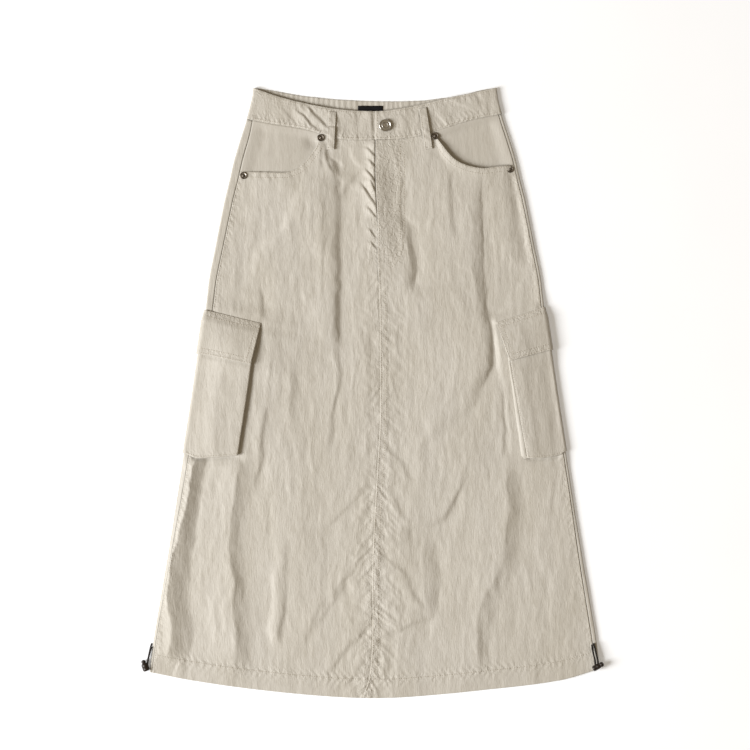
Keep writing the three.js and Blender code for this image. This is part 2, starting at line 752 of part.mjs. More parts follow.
function surfaceRight(x, y) {
  if (y > seamFront(x) - 1) return bandHeight(x, y) + BAND / 2 + bandLap(x);
  return frontRightHeight(x, y) + 0.8;
}

function backLabel() {
  const rows = [[395, 2.75], [386, 2.75], [377, 2.75]];
  const columns = [-23.5, -6, 11];
  const z = BAND + GAP + LABEL / 2;
  const outer = rows.map(([y]) => columns.map((x) => [x, y, z + LABEL / 2]));
  const inner = rows.map(([y]) => columns.map((x) => [x, y, z - LABEL / 2]));
  return wall(outer, inner);
}

function lathe(profile, sides) {
  const points = profile.map(([r, z]) => new THREE.Vector2(r, z));
  const geometry = new THREE.LatheGeometry(points, sides);
  geometry.rotateX(Math.PI / 2);
  return geometry;
}

// A domed button with a rim and a dished middle.
function buttonShape() {
  return lathe([[0, 0], [3.2, 0], [7.9, 0.8], [8.5, 1.6], [8.2, 2.5], [7.4, 2.8], [6.4, 2.2], [0, 2.2]], 20);
}

function rivetShape() {
  return lathe([[0, 0], [4.6, 0], [5, 0.6], [4.4, 1.3], [2.8, 0.9], [1.6, 1.9], [0, 2.4]], 12);
}

function rodAlong(points, radius, steps) {
  const circle = new THREE.Shape();
  circle.absarc(0, 0, radius, 0, Math.PI * 2, false);
  const path = new THREE.CatmullRomCurve3(points.map((point) => new THREE.Vector3(...point)));
  return new THREE.ExtrudeGeometry(circle, { extrudePath: path, steps, curveSegments: 4 });
}

function toSolid(geometry) {
  const bare = geometry.clone();
  bare.deleteAttribute('normal');
  bare.deleteAttribute('uv');
  const merged = mergeVertices(bare.index ? bare : bare, 1e-4);
  const mesh = new wasm.Mesh({
    numProp: 3,
    vertProperties: new Float32Array(merged.attributes.position.array),
    triVerts: new Uint32Array(merged.index.array),
  });
  return new wasm.Manifold(mesh);
}

function fromSolid(solid) {
  const mesh = solid.getMesh();
  const geometry = new THREE.BufferGeometry();
  geometry.setAttribute('position', new THREE.BufferAttribute(new Float32Array(mesh.vertProperties), 3));
  geometry.setIndex(new THREE.BufferAttribute(new Uint32Array(mesh.triVerts), 1));
  geometry.computeVertexNormals();
  return geometry;
}

// Drawcord strands: each leaves the hem's channel at the side seam and ends inside its lock.
const CORD = 2.4;
const cords = {
  drawcord_left_a: [[-307.6, -346, 2.0], [-309.2, -351, 2.2], [-310.8, -358, 2.6], [-312.4, -366, 3.1],
    [-313.6, -374, 3.4], [-314.4, -380.8, 3.4]],
  drawcord_left_b: [[-307.4, -350.6, 5.0], [-308.8, -354, 5.6], [-310.6, -360, 6.2], [-312.4, -367, 6.6],
    [-313.6, -374, 6.8], [-314.4, -380.8, 6.8]],
  drawcord_right_a: [[301.0, -345.4, 6.9], [302.8, -352, 7.4], [304.8, -361, 8.4], [306.6, -370, 9.4],
    [307.0, -379, 9.6]],
  drawcord_right_b: [[298.6, -347.4, 7.2], [299.4, -354, 7.9], [301.2, -362, 8.8], [303.0, -370, 9.4],
    [303.4, -379.2, 9.6]],
};

const locks = {
  left: { centre: [-316.2, -378.6, 5.1], toward: [-0.36, 0.93, 0], radius: 4.9, length: 11, strands: ['a', 'b'] },
  right: { centre: [305, -378.1, 9.6], toward: [0.86, 0.46, 0], radius: 4, length: 11.6, strands: ['a', 'b'] },
};

function barrel(radius, length, sides) {
  const half = length / 2;
  const points = [[0, -half], [radius * 0.72, -half], [radius * 0.94, -half + 1.2], [radius, -half + 3],
    [radius, half - 4.5], [radius * 0.9, half - 1.4], [radius * 0.74, half], [0, half]];
  return lathe(points, sides);
}

function lockBody(name) {
  const lock = locks[name];
  const geometry = barrel(lock.radius, lock.length, 14);
  const turnTo = new THREE.Quaternion().setFromUnitVectors(
    new THREE.Vector3(0, 0, 1),
    new THREE.Vector3(...lock.toward).normalize(),
  );
  geometry.applyQuaternion(turnTo);
  geometry.translate(...lock.centre);
  let solid = toSolid(geometry);
  for (const strand of lock.strands) {
    const route = cords[`drawcord_${name}_${strand}`];
    const end = new THREE.Vector3(...route.at(-1));
    const onward = end.clone().sub(new THREE.Vector3(...route.at(-2))).setLength(0.4);
    const hole = rodAlong([...route.slice(0, -1), end.add(onward).toArray()], CORD / 2 + GAP + 0.1, 8);
    solid = solid.subtract(toSolid(hole));
  }
  return fromSolid(solid);
}

function lockPlunger(name) {
  const lock = locks[name];
  const radius = name === 'left' ? 3.0 : 3.5;
  const geometry = lathe([[0, 0], [radius * 0.86, 0], [radius * 0.86, 0.7], [radius, 1.3], [radius, 3.2],
    [radius * 0.7, 4.6], [0, 5.2]], 12);
  const toward = new THREE.Vector3(...lock.toward).normalize();
  const turnTo = new THREE.Quaternion().setFromUnitVectors(new THREE.Vector3(0, 0, 1), toward);
  geometry.applyQuaternion(turnTo);
  const start = toward.multiplyScalar(lock.length / 2 + GAP);
  geometry.translate(lock.centre[0] + start.x, lock.centre[1] + start.y, lock.centre[2] + start.z);
  return geometry;
}

// The group is moved so that its own box stands over the origin.
const skirt = new THREE.Group();
skirt.position.set(0.3, 0.8, 0);

function addPiece(name, geometry, look, position) {
  const mesh = new THREE.Mesh(geometry, new THREE.MeshStandardMaterial(look));
  mesh.name = name;
  if (position) mesh.position.set(...position);
  skirt.add(mesh);
}

addPiece('front_left', frontLeft(), cloth);
addPiece('front_right', frontRight(), cloth);
addPiece('back', back(), cloth);
addPiece('waistband', waistband(), cloth);
addPiece('hip_facing_left', hipFacing(-1), facingCloth);
addPiece('hip_facing_right', hipFacing(1), facingCloth);
addPiece('belt_loop_left', beltLoop([-58.6, 386.5], [-61.4, 334.4], 1.0, surfaceLeft), cloth);
addPiece('belt_loop_right', beltLoop([65.5, 391.5], [74.2, 335], 2.6, surfaceRight), cloth);
for (const [name, cargo] of [['left', cargoLeft], ['right', cargoRight]]) {
  addPiece(`cargo_pocket_${name}`, cargoFace(cargo), cloth);
  addPiece(`cargo_gusset_${name}`, cargoGusset(cargo), cloth);
  addPiece(`cargo_flap_${name}`, cargoFlap(cargo), cloth);
}
addPiece('back_label', backLabel(), labelCloth);

const bandTop = BAND / 2 + 2 * BAND_FOLD + BAND + GAP + BAND / 2;
addPiece('waist_button', buttonShape(), silver, [13.8, 367.5, bandTop + GAP]);

// Highest point of a surface under a rivet.
function restUnder(surface, x, y) {
  let z = 0;
  for (let i = 0; i < 12; i += 1) {
    const angle = (i / 12) * Math.PI * 2;
    for (const r of [0, 2.5, 5]) z = Math.max(z, surface(x + r * Math.cos(angle), y + r * Math.sin(angle)));
  }
  return z + GAP;
}

const rivets = [
  { name: 'rivet_inner_left', x: -74.8, y: 350.6, under: surfaceLeft },
  { name: 'rivet_inner_right', x: 82.8, y: 353.2, under: surfaceRight },
  { name: 'rivet_outer_left', x: -181.2, y: 298.6, under: surfaceLeft },
  { name: 'rivet_outer_right', x: 186.2, y: 307.4, under: surfaceRight },
];
for (const { name, x, y, under } of rivets) {
  addPiece(name, rivetShape(), antique, [x, y, restUnder(under, x, y)]);
}

for (const [name, points] of Object.entries(cords)) {
  addPiece(name, rodAlong(points, CORD / 2, 8), cordBlack);
}
for (const name of ['left', 'right']) {
  addPiece(`cord_lock_${name}`, lockBody(name), lockBrown);
  addPiece(`lock_plunger_${name}`, lockPlunger(name), lockBrown);
}

export default skirt;
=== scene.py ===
import bpy
import math
import numpy as np
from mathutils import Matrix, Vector
from mathutils.bvhtree import BVHTree


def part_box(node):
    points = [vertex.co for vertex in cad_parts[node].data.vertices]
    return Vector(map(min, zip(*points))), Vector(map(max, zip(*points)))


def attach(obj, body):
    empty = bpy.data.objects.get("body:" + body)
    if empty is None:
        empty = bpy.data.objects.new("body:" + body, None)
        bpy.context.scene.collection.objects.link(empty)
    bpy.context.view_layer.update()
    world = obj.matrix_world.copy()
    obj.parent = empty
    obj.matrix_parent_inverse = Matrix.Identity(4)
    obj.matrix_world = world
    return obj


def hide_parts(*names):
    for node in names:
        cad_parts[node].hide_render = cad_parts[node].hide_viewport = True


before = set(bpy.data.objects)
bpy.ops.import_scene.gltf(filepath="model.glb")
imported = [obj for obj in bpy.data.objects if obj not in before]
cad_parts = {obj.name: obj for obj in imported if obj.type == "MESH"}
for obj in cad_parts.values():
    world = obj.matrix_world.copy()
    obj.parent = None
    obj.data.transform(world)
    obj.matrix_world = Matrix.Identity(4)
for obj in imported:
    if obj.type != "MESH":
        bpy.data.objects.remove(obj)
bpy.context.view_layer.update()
print("stage: frame loaded")

# All lengths here are millimetres on the laid skirt, X across it and Y up to the waist.
# inMetres() moves a finished grid into the frame's metres.
partShift = (0.3, 0.8, 0.0)


def inMetres(points):
    return (np.asarray(points, dtype=float) + np.array(partShift)) / 1000.0


def toLinear(hexColour):
    parts = [int(hexColour[i:i + 2], 16) / 255 for i in (0, 2, 4)]
    linear = [p / 12.92 if p <= 0.04045 else ((p + 0.055) / 1.055) ** 2.4 for p in parts]
    return (*linear, 1.0)


def step(a, b, x):
    t = np.clip((x - a) / (b - a), 0, 1)
    return t * t * (3 - 2 * t)


def mix(a, b, t):
    return a + (b - a) * t


def smoothLine(rows):
    # a smooth line through (t, value) rows, straight on past its ends
    rows = sorted(rows)
    t = np.array([r[0] for r in rows], float)
    v = np.array([r[1] for r in rows], float)
    slope = np.empty_like(v)
    slope[1:-1] = (v[2:] - v[:-2]) / (t[2:] - t[:-2])
    slope[0] = (v[1] - v[0]) / (t[1] - t[0])
    slope[-1] = (v[-1] - v[-2]) / (t[-1] - t[-2])

    def at(x):
        x = np.asarray(x, float)
        i = np.clip(np.searchsorted(t, x) - 1, 0, len(t) - 2)
        width = t[i + 1] - t[i]
        u = np.clip((x - t[i]) / width, 0, 1)
        bend = u * (1 - u) * width
        value = mix(v[i], v[i + 1], u * u * (3 - 2 * u)) + bend * ((1 - u) * slope[i] - u * slope[i + 1])
        value = np.where(x < t[0], v[0] + slope[0] * (x - t[0]), value)
        return np.where(x > t[-1], v[-1] + slope[-1] * (x - t[-1]), value)
    return at


# the laid skirt's outlines, the same as the solids'

halfWidth = smoothLine([(-420.5, 314), (-380.5, 309.8), (-342, 305), (-287, 296), (-218, 284.3), (-149, 273.2),
                        (-86.5, 263.6), (-11, 251.8), (45, 243.5), (114, 233.2), (155, 228.7), (196, 220.8),
                        (265, 207), (293, 200.1), (320.6, 193.9), (348, 185.6), (376, 176.6), (403, 169.7),
                        (420, 167)])
topFront = smoothLine([(-168, 420), (-134, 408), (-90, 397), (-51, 390.4), (-21, 388), (4, 387.5), (21, 389),
                       (62, 396.5), (101, 406), (131, 412), (168, 420)])
topBack = smoothLine([(-168, 420), (-145, 416.5), (-103, 409), (-48, 403.4), (14, 401), (62, 402), (90, 405.4),
                      (117, 409), (145, 416.5), (168, 420)])
seamFront = smoothLine([(-175, 376), (-137, 369), (-102, 363.4), (-76, 356.5), (-51, 349), (4, 347.5), (32, 349),
                        (57, 352.3), (91, 362), (132.5, 375), (174, 383.4)])
seamBack = smoothLine([(-175, 376), (-90, 366), (0, 361.5), (90, 367), (174, 383.4)])
hem = smoothLine([(-309, -386), (-252.5, -397), (-153, -410.8), (-43, -420.3), (33, -420.5), (143.5, -410.8),
                  (254, -397), (310.5, -380.5)])
centreSeam = smoothLine([(-418, -16), (-390, -7.6), (-336, -3.6), (-231, -3.4), (-80, 4.7), (-38, 6.9), (58, 6.9),
                         (127, 6.2), (185, 3.5), (228, 4.1), (294, 0.8), (348, 0.8)])
insetLeft = smoothLine([(-386, 3.2), (-218, 4.6), (-93, 7), (127, 9.7), (300, 11.5), (350, 11), (376, 8)])
insetRight = smoothLine([(-380, 5.6), (-273, 5.2), (-149, 3.2), (-93, 3.2), (265, 3.6), (376, 4)])
scoopLeft = smoothLine([(-190, 304.6), (-178, 304.3), (-145, 303.4), (-121.5, 303.4), (-112, 306.8), (-105, 309.6),
                        (-95.6, 319.2), (-82.8, 336), (-75.9, 346.8)])
scoopRight = smoothLine([(82.7, 354), (94.4, 338.5), (102, 329), (113, 319.2), (129, 312.3), (149, 308.9),
                         (170, 311.2), (185, 312.8), (194, 313.4)])

cargoLeft = dict(side=-1, rear=72, flapTop=smoothLine([(0, 113.5), (81, 94.5)]),
                 flapBottom=smoothLine([(0, 52.9), (16, 50.1), (76, 37.7)]),
                 bottom=smoothLine([(0, -83.8), (18, -90), (45, -89.3), (76, -86.5)]),
                 flapInner=(80, 75), faceInner=(75.5, 76), flare=(0.4, 0.8), rise=4.6)
cargoRight = dict(side=1, rear=90, flapTop=smoothLine([(0, 117.7), (70, 96.3)]),
                  flapBottom=smoothLine([(0, 58.4), (60, 43.2)]),
                  bottom=smoothLine([(0, -80.6), (9, -86), (31, -90), (56, -90.7)]),
                  flapInner=(70, 60), faceInner=(60, 55.7), flare=(0.4, 7.4), rise=3.1)

levels = dict(body=4.2, hip=5.6, fold=1.9, bandFold=2.5, band=6.0, back=0.6)
quarter = math.pi / 2 * levels["fold"]


def inset(side, y):
    return insetLeft(y) if side < 0 else insetRight(y)


def edgeDistance(x, y):
    return halfWidth(y) - np.abs(x)


def bySide(x, left, right):
    return np.where(np.asarray(x) < 0, left, right)


# the cloth's height

noiseTables = {}


def latticeNoise(x, y, cellX, cellY, seed):
    # soft noise from -1 to 1 with cells of the given size
    if seed not in noiseTables:
        noiseTables[seed] = np.random.RandomState(seed).uniform(-1, 1, (512, 512))
    table = noiseTables[seed]
    u, v = np.asarray(x) / cellX + 256.37, np.asarray(y) / cellY + 256.71
    i, j = np.floor(u).astype(int), np.floor(v).astype(int)
    fu, fv = u - i, v - j
    fu, fv = fu * fu * (3 - 2 * fu), fv * fv * (3 - 2 * fv)
    i, j = i % 511, j % 511
    low = mix(table[i, j], table[i + 1, j], fu)
    high = mix(table[i, j + 1], table[i + 1, j + 1], fu)
    return mix(low, high, fv)


def pocketLift(cargo, d, y):
    # the pocket's layers behind lift the skirt off the floor
    top, bottom, end = cargo["flapTop"](d), cargo["flapBottom"](d), cargo["bottom"](d)
    flap = 2.3 * step(top + 28, top, y) + 1.6 * step(top, top - 16, y)
    return flap - 2.2 * step(bottom, bottom - 26, y) - 1.7 * step(end, end - 28, y)


def backHeight(side, d, y):
    cargo = cargoLeft if side < 0 else cargoRight
    return levels["back"] + pocketLift(cargo, d, y) * (1 - step(cargo["rear"] + 3, cargo["rear"] + 45, d))


# The seam allowances lie stacked under the lower left side: a ridge runs down beside the edge,
# level with it on the left and falling steeply to the right.
ledgeLook = dict(height=5.6, dip=2.6, reach=(17, 31), jitter=1.8)
ledgeLine = smoothLine([(-84, -246), (-92, -248), (-135, -257), (-169, -264), (-204, -273), (-231, -280), (-273, -286),
                        (-327, -281), (-359, -284), (-380, -286)])


def ledgeHeight(x, y):
    crest = ledgeLine(y) + ledgeLook["jitter"] * latticeNoise(y, 0 * y, 11, 1, 21)
    away = x - crest
    outside = np.clip((x + halfWidth(y)) / (crest + halfWidth(y)), 0, 1)
    reach = mix(ledgeLook["reach"][0], ledgeLook["reach"][1], step(-120, -270, y))
    high, dip = ledgeLook["height"] * mix(0.8, 1, step(-120, -230, y)), ledgeLook["dip"]
    inside = (high + dip) * np.clip(1 - away / reach, 0, 1) ** 1.15 - dip * np.exp(-np.maximum(away - reach, 0) / 40)
    return step(-84, -100, y) * step(-378, -352, y) * np.where(away < 0, high * outside, inside)


def frontBase(x, y):
    d = np.maximum(edgeDistance(x, y) - levels["fold"], 0)
    lift = 0
    for cargo in (cargoLeft, cargoRight):
        here = pocketLift(cargo, d, y) * (1 - step(cargo["rear"] + 14, cargo["rear"] + 120, d))
        lift = np.where(np.asarray(x) * cargo["side"] > 0, here, lift)
    level = mix(levels["body"], levels["hip"], step(225, 285, y))
    side = np.exp(-((d / 26) ** 2))
    return mix(level, levels["back"] + 2 * levels["fold"], side) + lift + ledgeHeight(x, y)


# Folds of the front: points along each, its drop, the width it drops over, and how far the
# cloth takes to come level again on its left (or upper) and right (or lower) side. The light
# comes from the left, so a drop shows as a dark band and a drop below zero as a bright one.
# A "crest" starts sharply at the line and eases off to the right, a "foot" ends sharply at it.
folds = [
    ([(-54, 315), (-53, 212), (-52, 106), (-48, 56)], 5.2, 15, 50, 26),
    ([(-86, 350), (-68, 330), (-52, 312), (-44, 296)], 6.5, 20, 14, 24),
    ([(6, 316), (15, 276), (20, 236), (18, 192)], 4.2, 38, 34, 30),
    ([(44, 244), (53, 226), (57, 192), (57, 158), (54, 138)], 4.4, 18, 30, 24, "foot"),
    ([(-70, 300), (-66, 187)], 3.4, 28, 40, 22),
    ([(-48, 56), (-47, 17), (-52, -4), (-60, -30), (-63, -78)], 1.8, 7, 14, 10),
    ([(-46, 266), (-34, 293), (-14, 312)], 2.8, 12, 14, 12),
    ([(-66, 328), (-55, 322), (-40, 313)], 2.2, 8, 8, 10),
    ([(-42, 341), (-22, 316), (0, 288)], -1.3, 9, 10, 10),
    ([(-74, 343), (-66, 337), (-58, 329)], 2.8, 5, 6, 6),
    ([(-78, 342), (-74, 326), (-72, 306)], 3.0, 5, 7, 7),
    ([(-70, 343), (-66, 322), (-58, 302)], 2.6, 5, 7, 7),
    ([(103, 304), (106, 260), (107, 208)], 2.0, 11, 22, 22),
    ([(147, 288), (151, 163), (159, 95), (159, 33), (141, -8)], 4.0, 18, 40, 60, "foot"),
    ([(163, 108), (161, 60), (158, 20)], 3.0, 10, 14, 10),
    ([(66, -74), (104, -40), (141, -8)], 2.2, 20, 28, 24),
    ([(178, 52), (177, 10), (178, -30), (174, -92)], 2.2, 5, 12, 8),
    ([(-187, -78), (-190, -118), (-198, -165), (-200, -222), (-195, -280), (-192, -342), (-196, -384)], 5.0, 28, 42, 34,
     "crest"),
    ([(-149, -14), (-157, -88), (-166, -134)], 2.4, 9, 18, 12),
    ([(-123, -205), (-125, -283), (-131, -345)], 2.2, 10, 16, 14),
    ([(-141, -243), (-143, -348)], -1.8, 9, 14, 14),
    ([(40, -186), (96, -172), (126, -124)], 2.6, 11, 20, 18),
    ([(86, -205), (90, -259), (87, -300)], 3.4, 20, 26, 14, "foot"),
    ([(4, -340), (43, -328), (84, -306)], 2.8, 10, 16, 14),
    ([(180, -92), (181, -210), (164, -267), (145, -296), (138, -384)], 3.8, 26, 36, 44, "crest"),
    ([(-6, -320), (-34, -350), (-62, -384)], 2.8, 9, 12, 10),
    ([(-12, -366), (-26, -388), (-42, -408)], 2.2, 8, 9, 7),
    ([(-36, -262), (-58, -292), (-80, -326)], 2.2, 10, 12, 10),
    ([(-62, -186), (-36, -160), (-13, -129)], 1.8, 10, 12, 10),
    ([(-58, -283), (-34, -250), (-13, -218)], 1.8, 10, 12, 10),
    ([(11, -72), (30, -96), (51, -121)], 1.7, 10, 12, 10),
    ([(19, -137), (43, -178)], 1.4, 9, 10, 10),
    ([(31, -235), (50, -268), (68, -300)], 1.6, 10, 12, 10),
    ([(-111, 277), (-123, 236), (-164, 187), (-172, 147)], -2.6, 16, 20, 40),
    ([(-158, 139), (-155, 98)], 2.2, 7, 10, 8),
    ([(-110, 31), (-110, -40)], 1.6, 10, 24, 16),
    ([(182, 312), (190, 252), (204, 176)], 3.6, 24, 40, 30),
    ([(-70, -283), (-84, -315), (-96, -350)], 1.6, 9, 12, 10),
    ([(-271, -374), (-280, -394)], -1.2, 3, 4, 4),
    ([(-260, -372), (-262, -400)], 2.4, 24, 10, 8),
]

# Puckers that run into the fly's edge, short and deep.
flyPuckers = [
    ([(-11, 338), (1, 323)], 3.4, 3.6, 5, 4),
    ([(-9, 322), (1, 309)], 3.0, 3.4, 4, 4),
    ([(-13, 308), (-3, 295), (2, 285)], 4.2, 3.8, 6, 4),
    ([(-7, 294), (1, 275)], 3.8, 3.6, 5, 4),
    ([(-19, 288), (-7, 270), (2, 255)], 4.4, 4.2, 7, 4),
    ([(-10, 256), (2, 240)], 3.4, 3.6, 5, 4),
    ([(-8, 226), (1, 212)], 2.6, 3.2, 4, 4),
    ([(-6, 208), (2, 197)], 2.4, 3.0, 4, 4),
]

bandFolds = [
    ([(-107, 391), (-91, 375), (-78, 358.5)], 3.0, 4.2, 7, 4),
    ([(-93.5, 396), (-84, 385), (-74, 374.5), (-64.5, 365)], 3.3, 4.2, 7, 4),
    ([(-126, 390), (-110, 371)], 0.9, 4, 6, 5),
    ([(-56, 384), (-48, 362)], 1.0, 3.5, 5, 4),
    ([(-30, 386), (-26, 360)], 0.6, 5, 8, 6),
    ([(-6, 386), (-3, 356)], 1.5, 3.2, 6, 4),
    ([(59, 384), (60, 354)], 1.3, 3.5, 6, 4),
    ([(30, 384), (40, 374), (46, 358)], 1.0, 4, 6, 5),
    ([(84, 396), (106, 397), (134, 386)], 1.2, 5, 7, 6),
    ([(84, 380), (104, 366)], 1.1, 4, 6, 5),
    ([(140, 408), (146, 384)], 0.7, 5, 8, 8),
]


def foldHeight(fold, x, y):
    points, drop, width, reachLeft, reachRight = fold[:5]
    edge = fold[5] if len(fold) > 5 else "even"
    (x0, y0), (x1, y1) = points[0], points[-1]
    if abs(y1 - y0) >= abs(x1 - x0):
        line = smoothLine([(py, px) for px, py in points])
        away = x - line(y)
        t = (y - y0) / (y1 - y0)
        lean = (x1 - x0) / (y1 - y0)
    else:
        line = smoothLine(points)
        away = line(x) - y
        t = (x - x0) / (x1 - x0)
        lean = (y1 - y0) / (x1 - x0)
    away = away / math.hypot(1, lean)
    length = math.hypot(x1 - x0, y1 - y0)
    fade = max(min(0.3, 16 / length), 0.14)
    ends = step(-fade / 2, fade, t) * step(1 + fade / 2, 1 - fade, t)
    if edge != "even":
        turn = 1 if edge == "crest" else -1
        a = away * turn
        rising = np.exp(a / (reachLeft if turn > 0 else reachRight))
        level = np.where(a < 0, rising, 1.6 * np.clip(1 - a / width, 0, 1) ** 2 - 0.6)
        far = np.exp(-np.maximum(a - width, 0) / (reachRight if turn > 0 else reachLeft))
        return drop * 0.62 * turn * ends * np.where(a > width, -0.6 * far, level)
    reach = np.where(away < 0, reachLeft, reachRight)
    return -drop * 0.62 * ends * np.tanh(2.4 * away / width) * np.exp(-np.abs(away) / reach)


crinkle = dict(ridge=0.5, coarse=0.2, middle=0.16, fine=0.13, swell=0.9)


def wander(x, y):
    # bends straight creases a little, the way crushed cloth does
    dx = 3.2 * latticeNoise(x, y, 21, 34, 3) + 1.1 * latticeNoise(x, y, 8, 11, 4)
    dy = 5.0 * latticeNoise(x, y, 30, 26, 5) + 1.5 * latticeNoise(x, y, 9, 9, 6)
    return x + dx, y + dy


def crinkleAt(x, y, strength=1.0):
    # the crushed finish runs along the warp: thin ripples down the cloth and crisp broken ridges
    x, y = wander(x, y)
    ridge = 0.5 - np.abs(latticeNoise(x, y, 15, 46, 10)) - 0.6 * np.abs(latticeNoise(x, y, 11, 27, 9))
    ripple = crinkle["ridge"] * ridge + crinkle["coarse"] * latticeNoise(x, y, 9, 40, 11)
    ripple = ripple + crinkle["middle"] * latticeNoise(x, y, 5, 19, 12)
    ripple = ripple + crinkle["fine"] * latticeNoise(x, y, 3, 9, 13)
    return strength * ripple


def pucker(along, away, period, reach, slant, seed):
    # short slanting ripples that a row of stitches gathers in the cloth beside it
    drift = 0.9 * latticeNoise(along, away, period * 3.1, 9, seed)
    wave = np.sin(2 * math.pi * (along + slant * np.abs(away)) / period + 2.4 * drift)
    strength = 0.55 + 0.45 * latticeNoise(along, 0 * along, 23, 1, seed + 1)
    return wave * strength * np.exp(-((away / reach) ** 2))


def foldRoom(x, y):
    # creases end before the pockets, the side seams and the hip facings
    d = edgeDistance(x, y)
    room = 1.0
    for cargo in (cargoLeft, cargoRight):
        inner = cargo["flapInner"][0]
        inside = step(inner + 8, inner - 1, d)
        beside = step(cargo["flapTop"](d) + 12, cargo["flapTop"](d) + 1, y)
        under = step(cargo["bottom"](d) - 14, cargo["bottom"](d) - 3, y)
        room = np.where(np.asarray(x) * cargo["side"] > 0, 1 - inside * beside * under, room)
    seam = step(1, 10, d - bySide(x, insetLeft(y), insetRight(y)))
    facing = np.minimum(step(342, 300, y) + step(70, 44, np.abs(x)), 1)
    facing = np.maximum(facing, np.exp(-(((x + 62) / 17) ** 2) - ((y - 325) / 22) ** 2))
    return room * seam * facing


def keepAbove(floor, z):
    over = z - floor
    return floor + (over + np.sqrt(over * over + 0.12)) / 2


hemLook = dict(stitchUp=26, puff=0.3)
flyLook = dict(swell=3.0, lift=1.3, gape=3.2)


def besideCentre(x, y):
    return x - centreSeam(y) - 3.5


def besideSide(x, y):
    return edgeDistance(x, y) - bySide(x, insetLeft(y), insetRight(y))


def frontGather(x, y):
    # where the fine stitch puckers show, from 0 to 1
    centre = np.exp(-((besideCentre(x, y) / 15) ** 2)) * mix(0.55, 1, step(-60, -230, y))
    side = 0.7 * np.exp(-((besideSide(x, y) / 9) ** 2))
    turned = 0.7 * np.exp(-(((y - hem(x) - hemLook["stitchUp"]) / 8) ** 2))
    waist = 0.6 * np.exp(-(((seamFront(x) - y) / 8) ** 2))
    scoop = 0.5 * np.exp(-(((np.where(x < 0, scoopLeft(x), scoopRight(x)) - 4 - y) / 6) ** 2)) * step(70, 80, np.abs(x))
    fly = 0.9 * step(-14, -2, x) * step(48, 34, x) * step(165, 185, y)
    return np.maximum.reduce([centre, side, turned, waist, scoop, fly])


def pocketTuck(x, y):
    # the cloth swells up to the flap's sewn edge, and dips in under the pocket's bottom
    d = edgeDistance(x, y)
    z = 0
    for cargo in (cargoLeft, cargoRight):
        top, low = cargo["flapTop"](d), cargo["bottom"](d)
        flapEdge, faceEdge = cargo["flapInner"][0], cargo["faceInner"][1]
        swell = 0.7 * step(top + 22, top + 2, y) * step(top - 2.5, top - 0.5, y) * step(flapEdge + 6, flapEdge - 4, d)
        dip = 1.7 * np.exp(-(((y - low + 1.0) / 2.8) ** 2)) * step(faceEdge + 2, faceEdge - 6, d)
        z = np.where(np.asarray(x) * cargo["side"] > 0, swell - dip, z)
    return z * step(2, 9, besideSide(x, y))


def frontDetail(x, y):
    # what both front panels share: crinkle, puckered seams and the turned hem
    away = besideCentre(x, y)
    wx, wy = wander(x, y)
    low = mix(0.55, 1, step(-60, -230, y)) * step(230, 120, y)
    z = 0.4 * low * pucker(y, away, 7.6, 10, 0.9, 31)
    slanted = 0.6 - 1.6 * np.abs(latticeNoise(wy + 0.9 * np.abs(away), away, 9.5, 19, 33))
    slanted = slanted + 0.7 * latticeNoise(wy - 0.6 * np.abs(away), away, 6, 12, 34)
    z = z + 1.0 * low * slanted * np.exp(-((away / 30) ** 2))
    z = z + 0.32 * pucker(y, besideSide(x, y), 9, 9, 0.8, 41)
    up = y - hem(x) - hemLook["stitchUp"]
    z = z + 0.36 * pucker(x, up, 9.5, 11, 0.7, 51)
    z = z + hemLook["puff"] * step(1.5, -2.5, up) * (1 - 0.4 * step(-17, -24, up))
    z = z + crinkleAt(x, y, 1 - 0.25 * step(5, -5, up))
    return z + pocketTuck(x, y) + crinkle["swell"] * latticeNoise(x, y, 46, 120, 14) * foldRoom(x, y)


def foldsAt(x, y):
    wx, wy = wander(x, y)
    vary = 1 + 0.3 * latticeNoise(wx, wy, 30, 45, 15)
    z = 0
    for fold in folds:
        z = z + foldHeight(fold, wx, wy)
    return z * vary * foldRoom(x, y)


def frontLeftHeight(x, y):
    away = x - centreSeam(y)
    z = frontBase(x, y) + foldsAt(x, y)
    mouth = step(238, 250, y) * step(350, 340, y)
    for fold in flyPuckers:
        z = z + foldHeight(fold, x, y) * step(6, 1, x)
    # the cloth under the fly's edge rises to it and dives beneath it
    rise = np.where(away < -1.6, np.exp(-(((away + 1.6) / 9) ** 2)), step(0.2, -1.6, away))
    z = z + flyLook["swell"] * mouth * rise - 0.6 * step(-1.5, 1, away) * (1 - mouth)
    z = z + 0.45 * pucker(-0.85 * x, (y - scoopLeft(x) + 4) * 0.8, 8.5, 7, 0.5, 61) * step(-72, -80, x)
    return keepAbove(1.9, z + frontDetail(x, y))


def frontRightHeight(x, y):
    away = x - centreSeam(y)
    z = frontBase(x, y) + foldsAt(x, y)
    fly = step(138, 150, y)
    z = z + mix(0.3, 0.8, fly) * (1 - step(9 + 20 * fly, 12 + 26 * fly, away)) + flyLook["lift"] * fly * step(26, 1, away)
    rim = y - scoopRight(x)
    z = z + flyLook["gape"] * np.exp(-((rim / 11) ** 2)) * step(80, 92, x) * step(2, 16, edgeDistance(x, y))
    return keepAbove(1.9, z + frontDetail(x, y))


def bandHeight(x, y):
    z = levels["band"] + 0 * x
    wx, wy = wander(x, y)
    for fold in bandFolds:
        z = z + foldHeight(fold, wx, wy)
    low = y - seamFront(x)
    high = topFront(x) - y
    z = z - 0.7 * step(2.6, 0, low) - 0.45 * step(2.2, 0, high)
    z = z + 0.36 * pucker(x, low - 4, 7, 8, 0.6, 71) + 0.3 * pucker(x, high - 4, 8, 7, -0.6, 72)
    return z + crinkleAt(x, y, 1.0) + 0.55 * latticeNoise(wx, wy, 13, 17, 73)


# making meshes

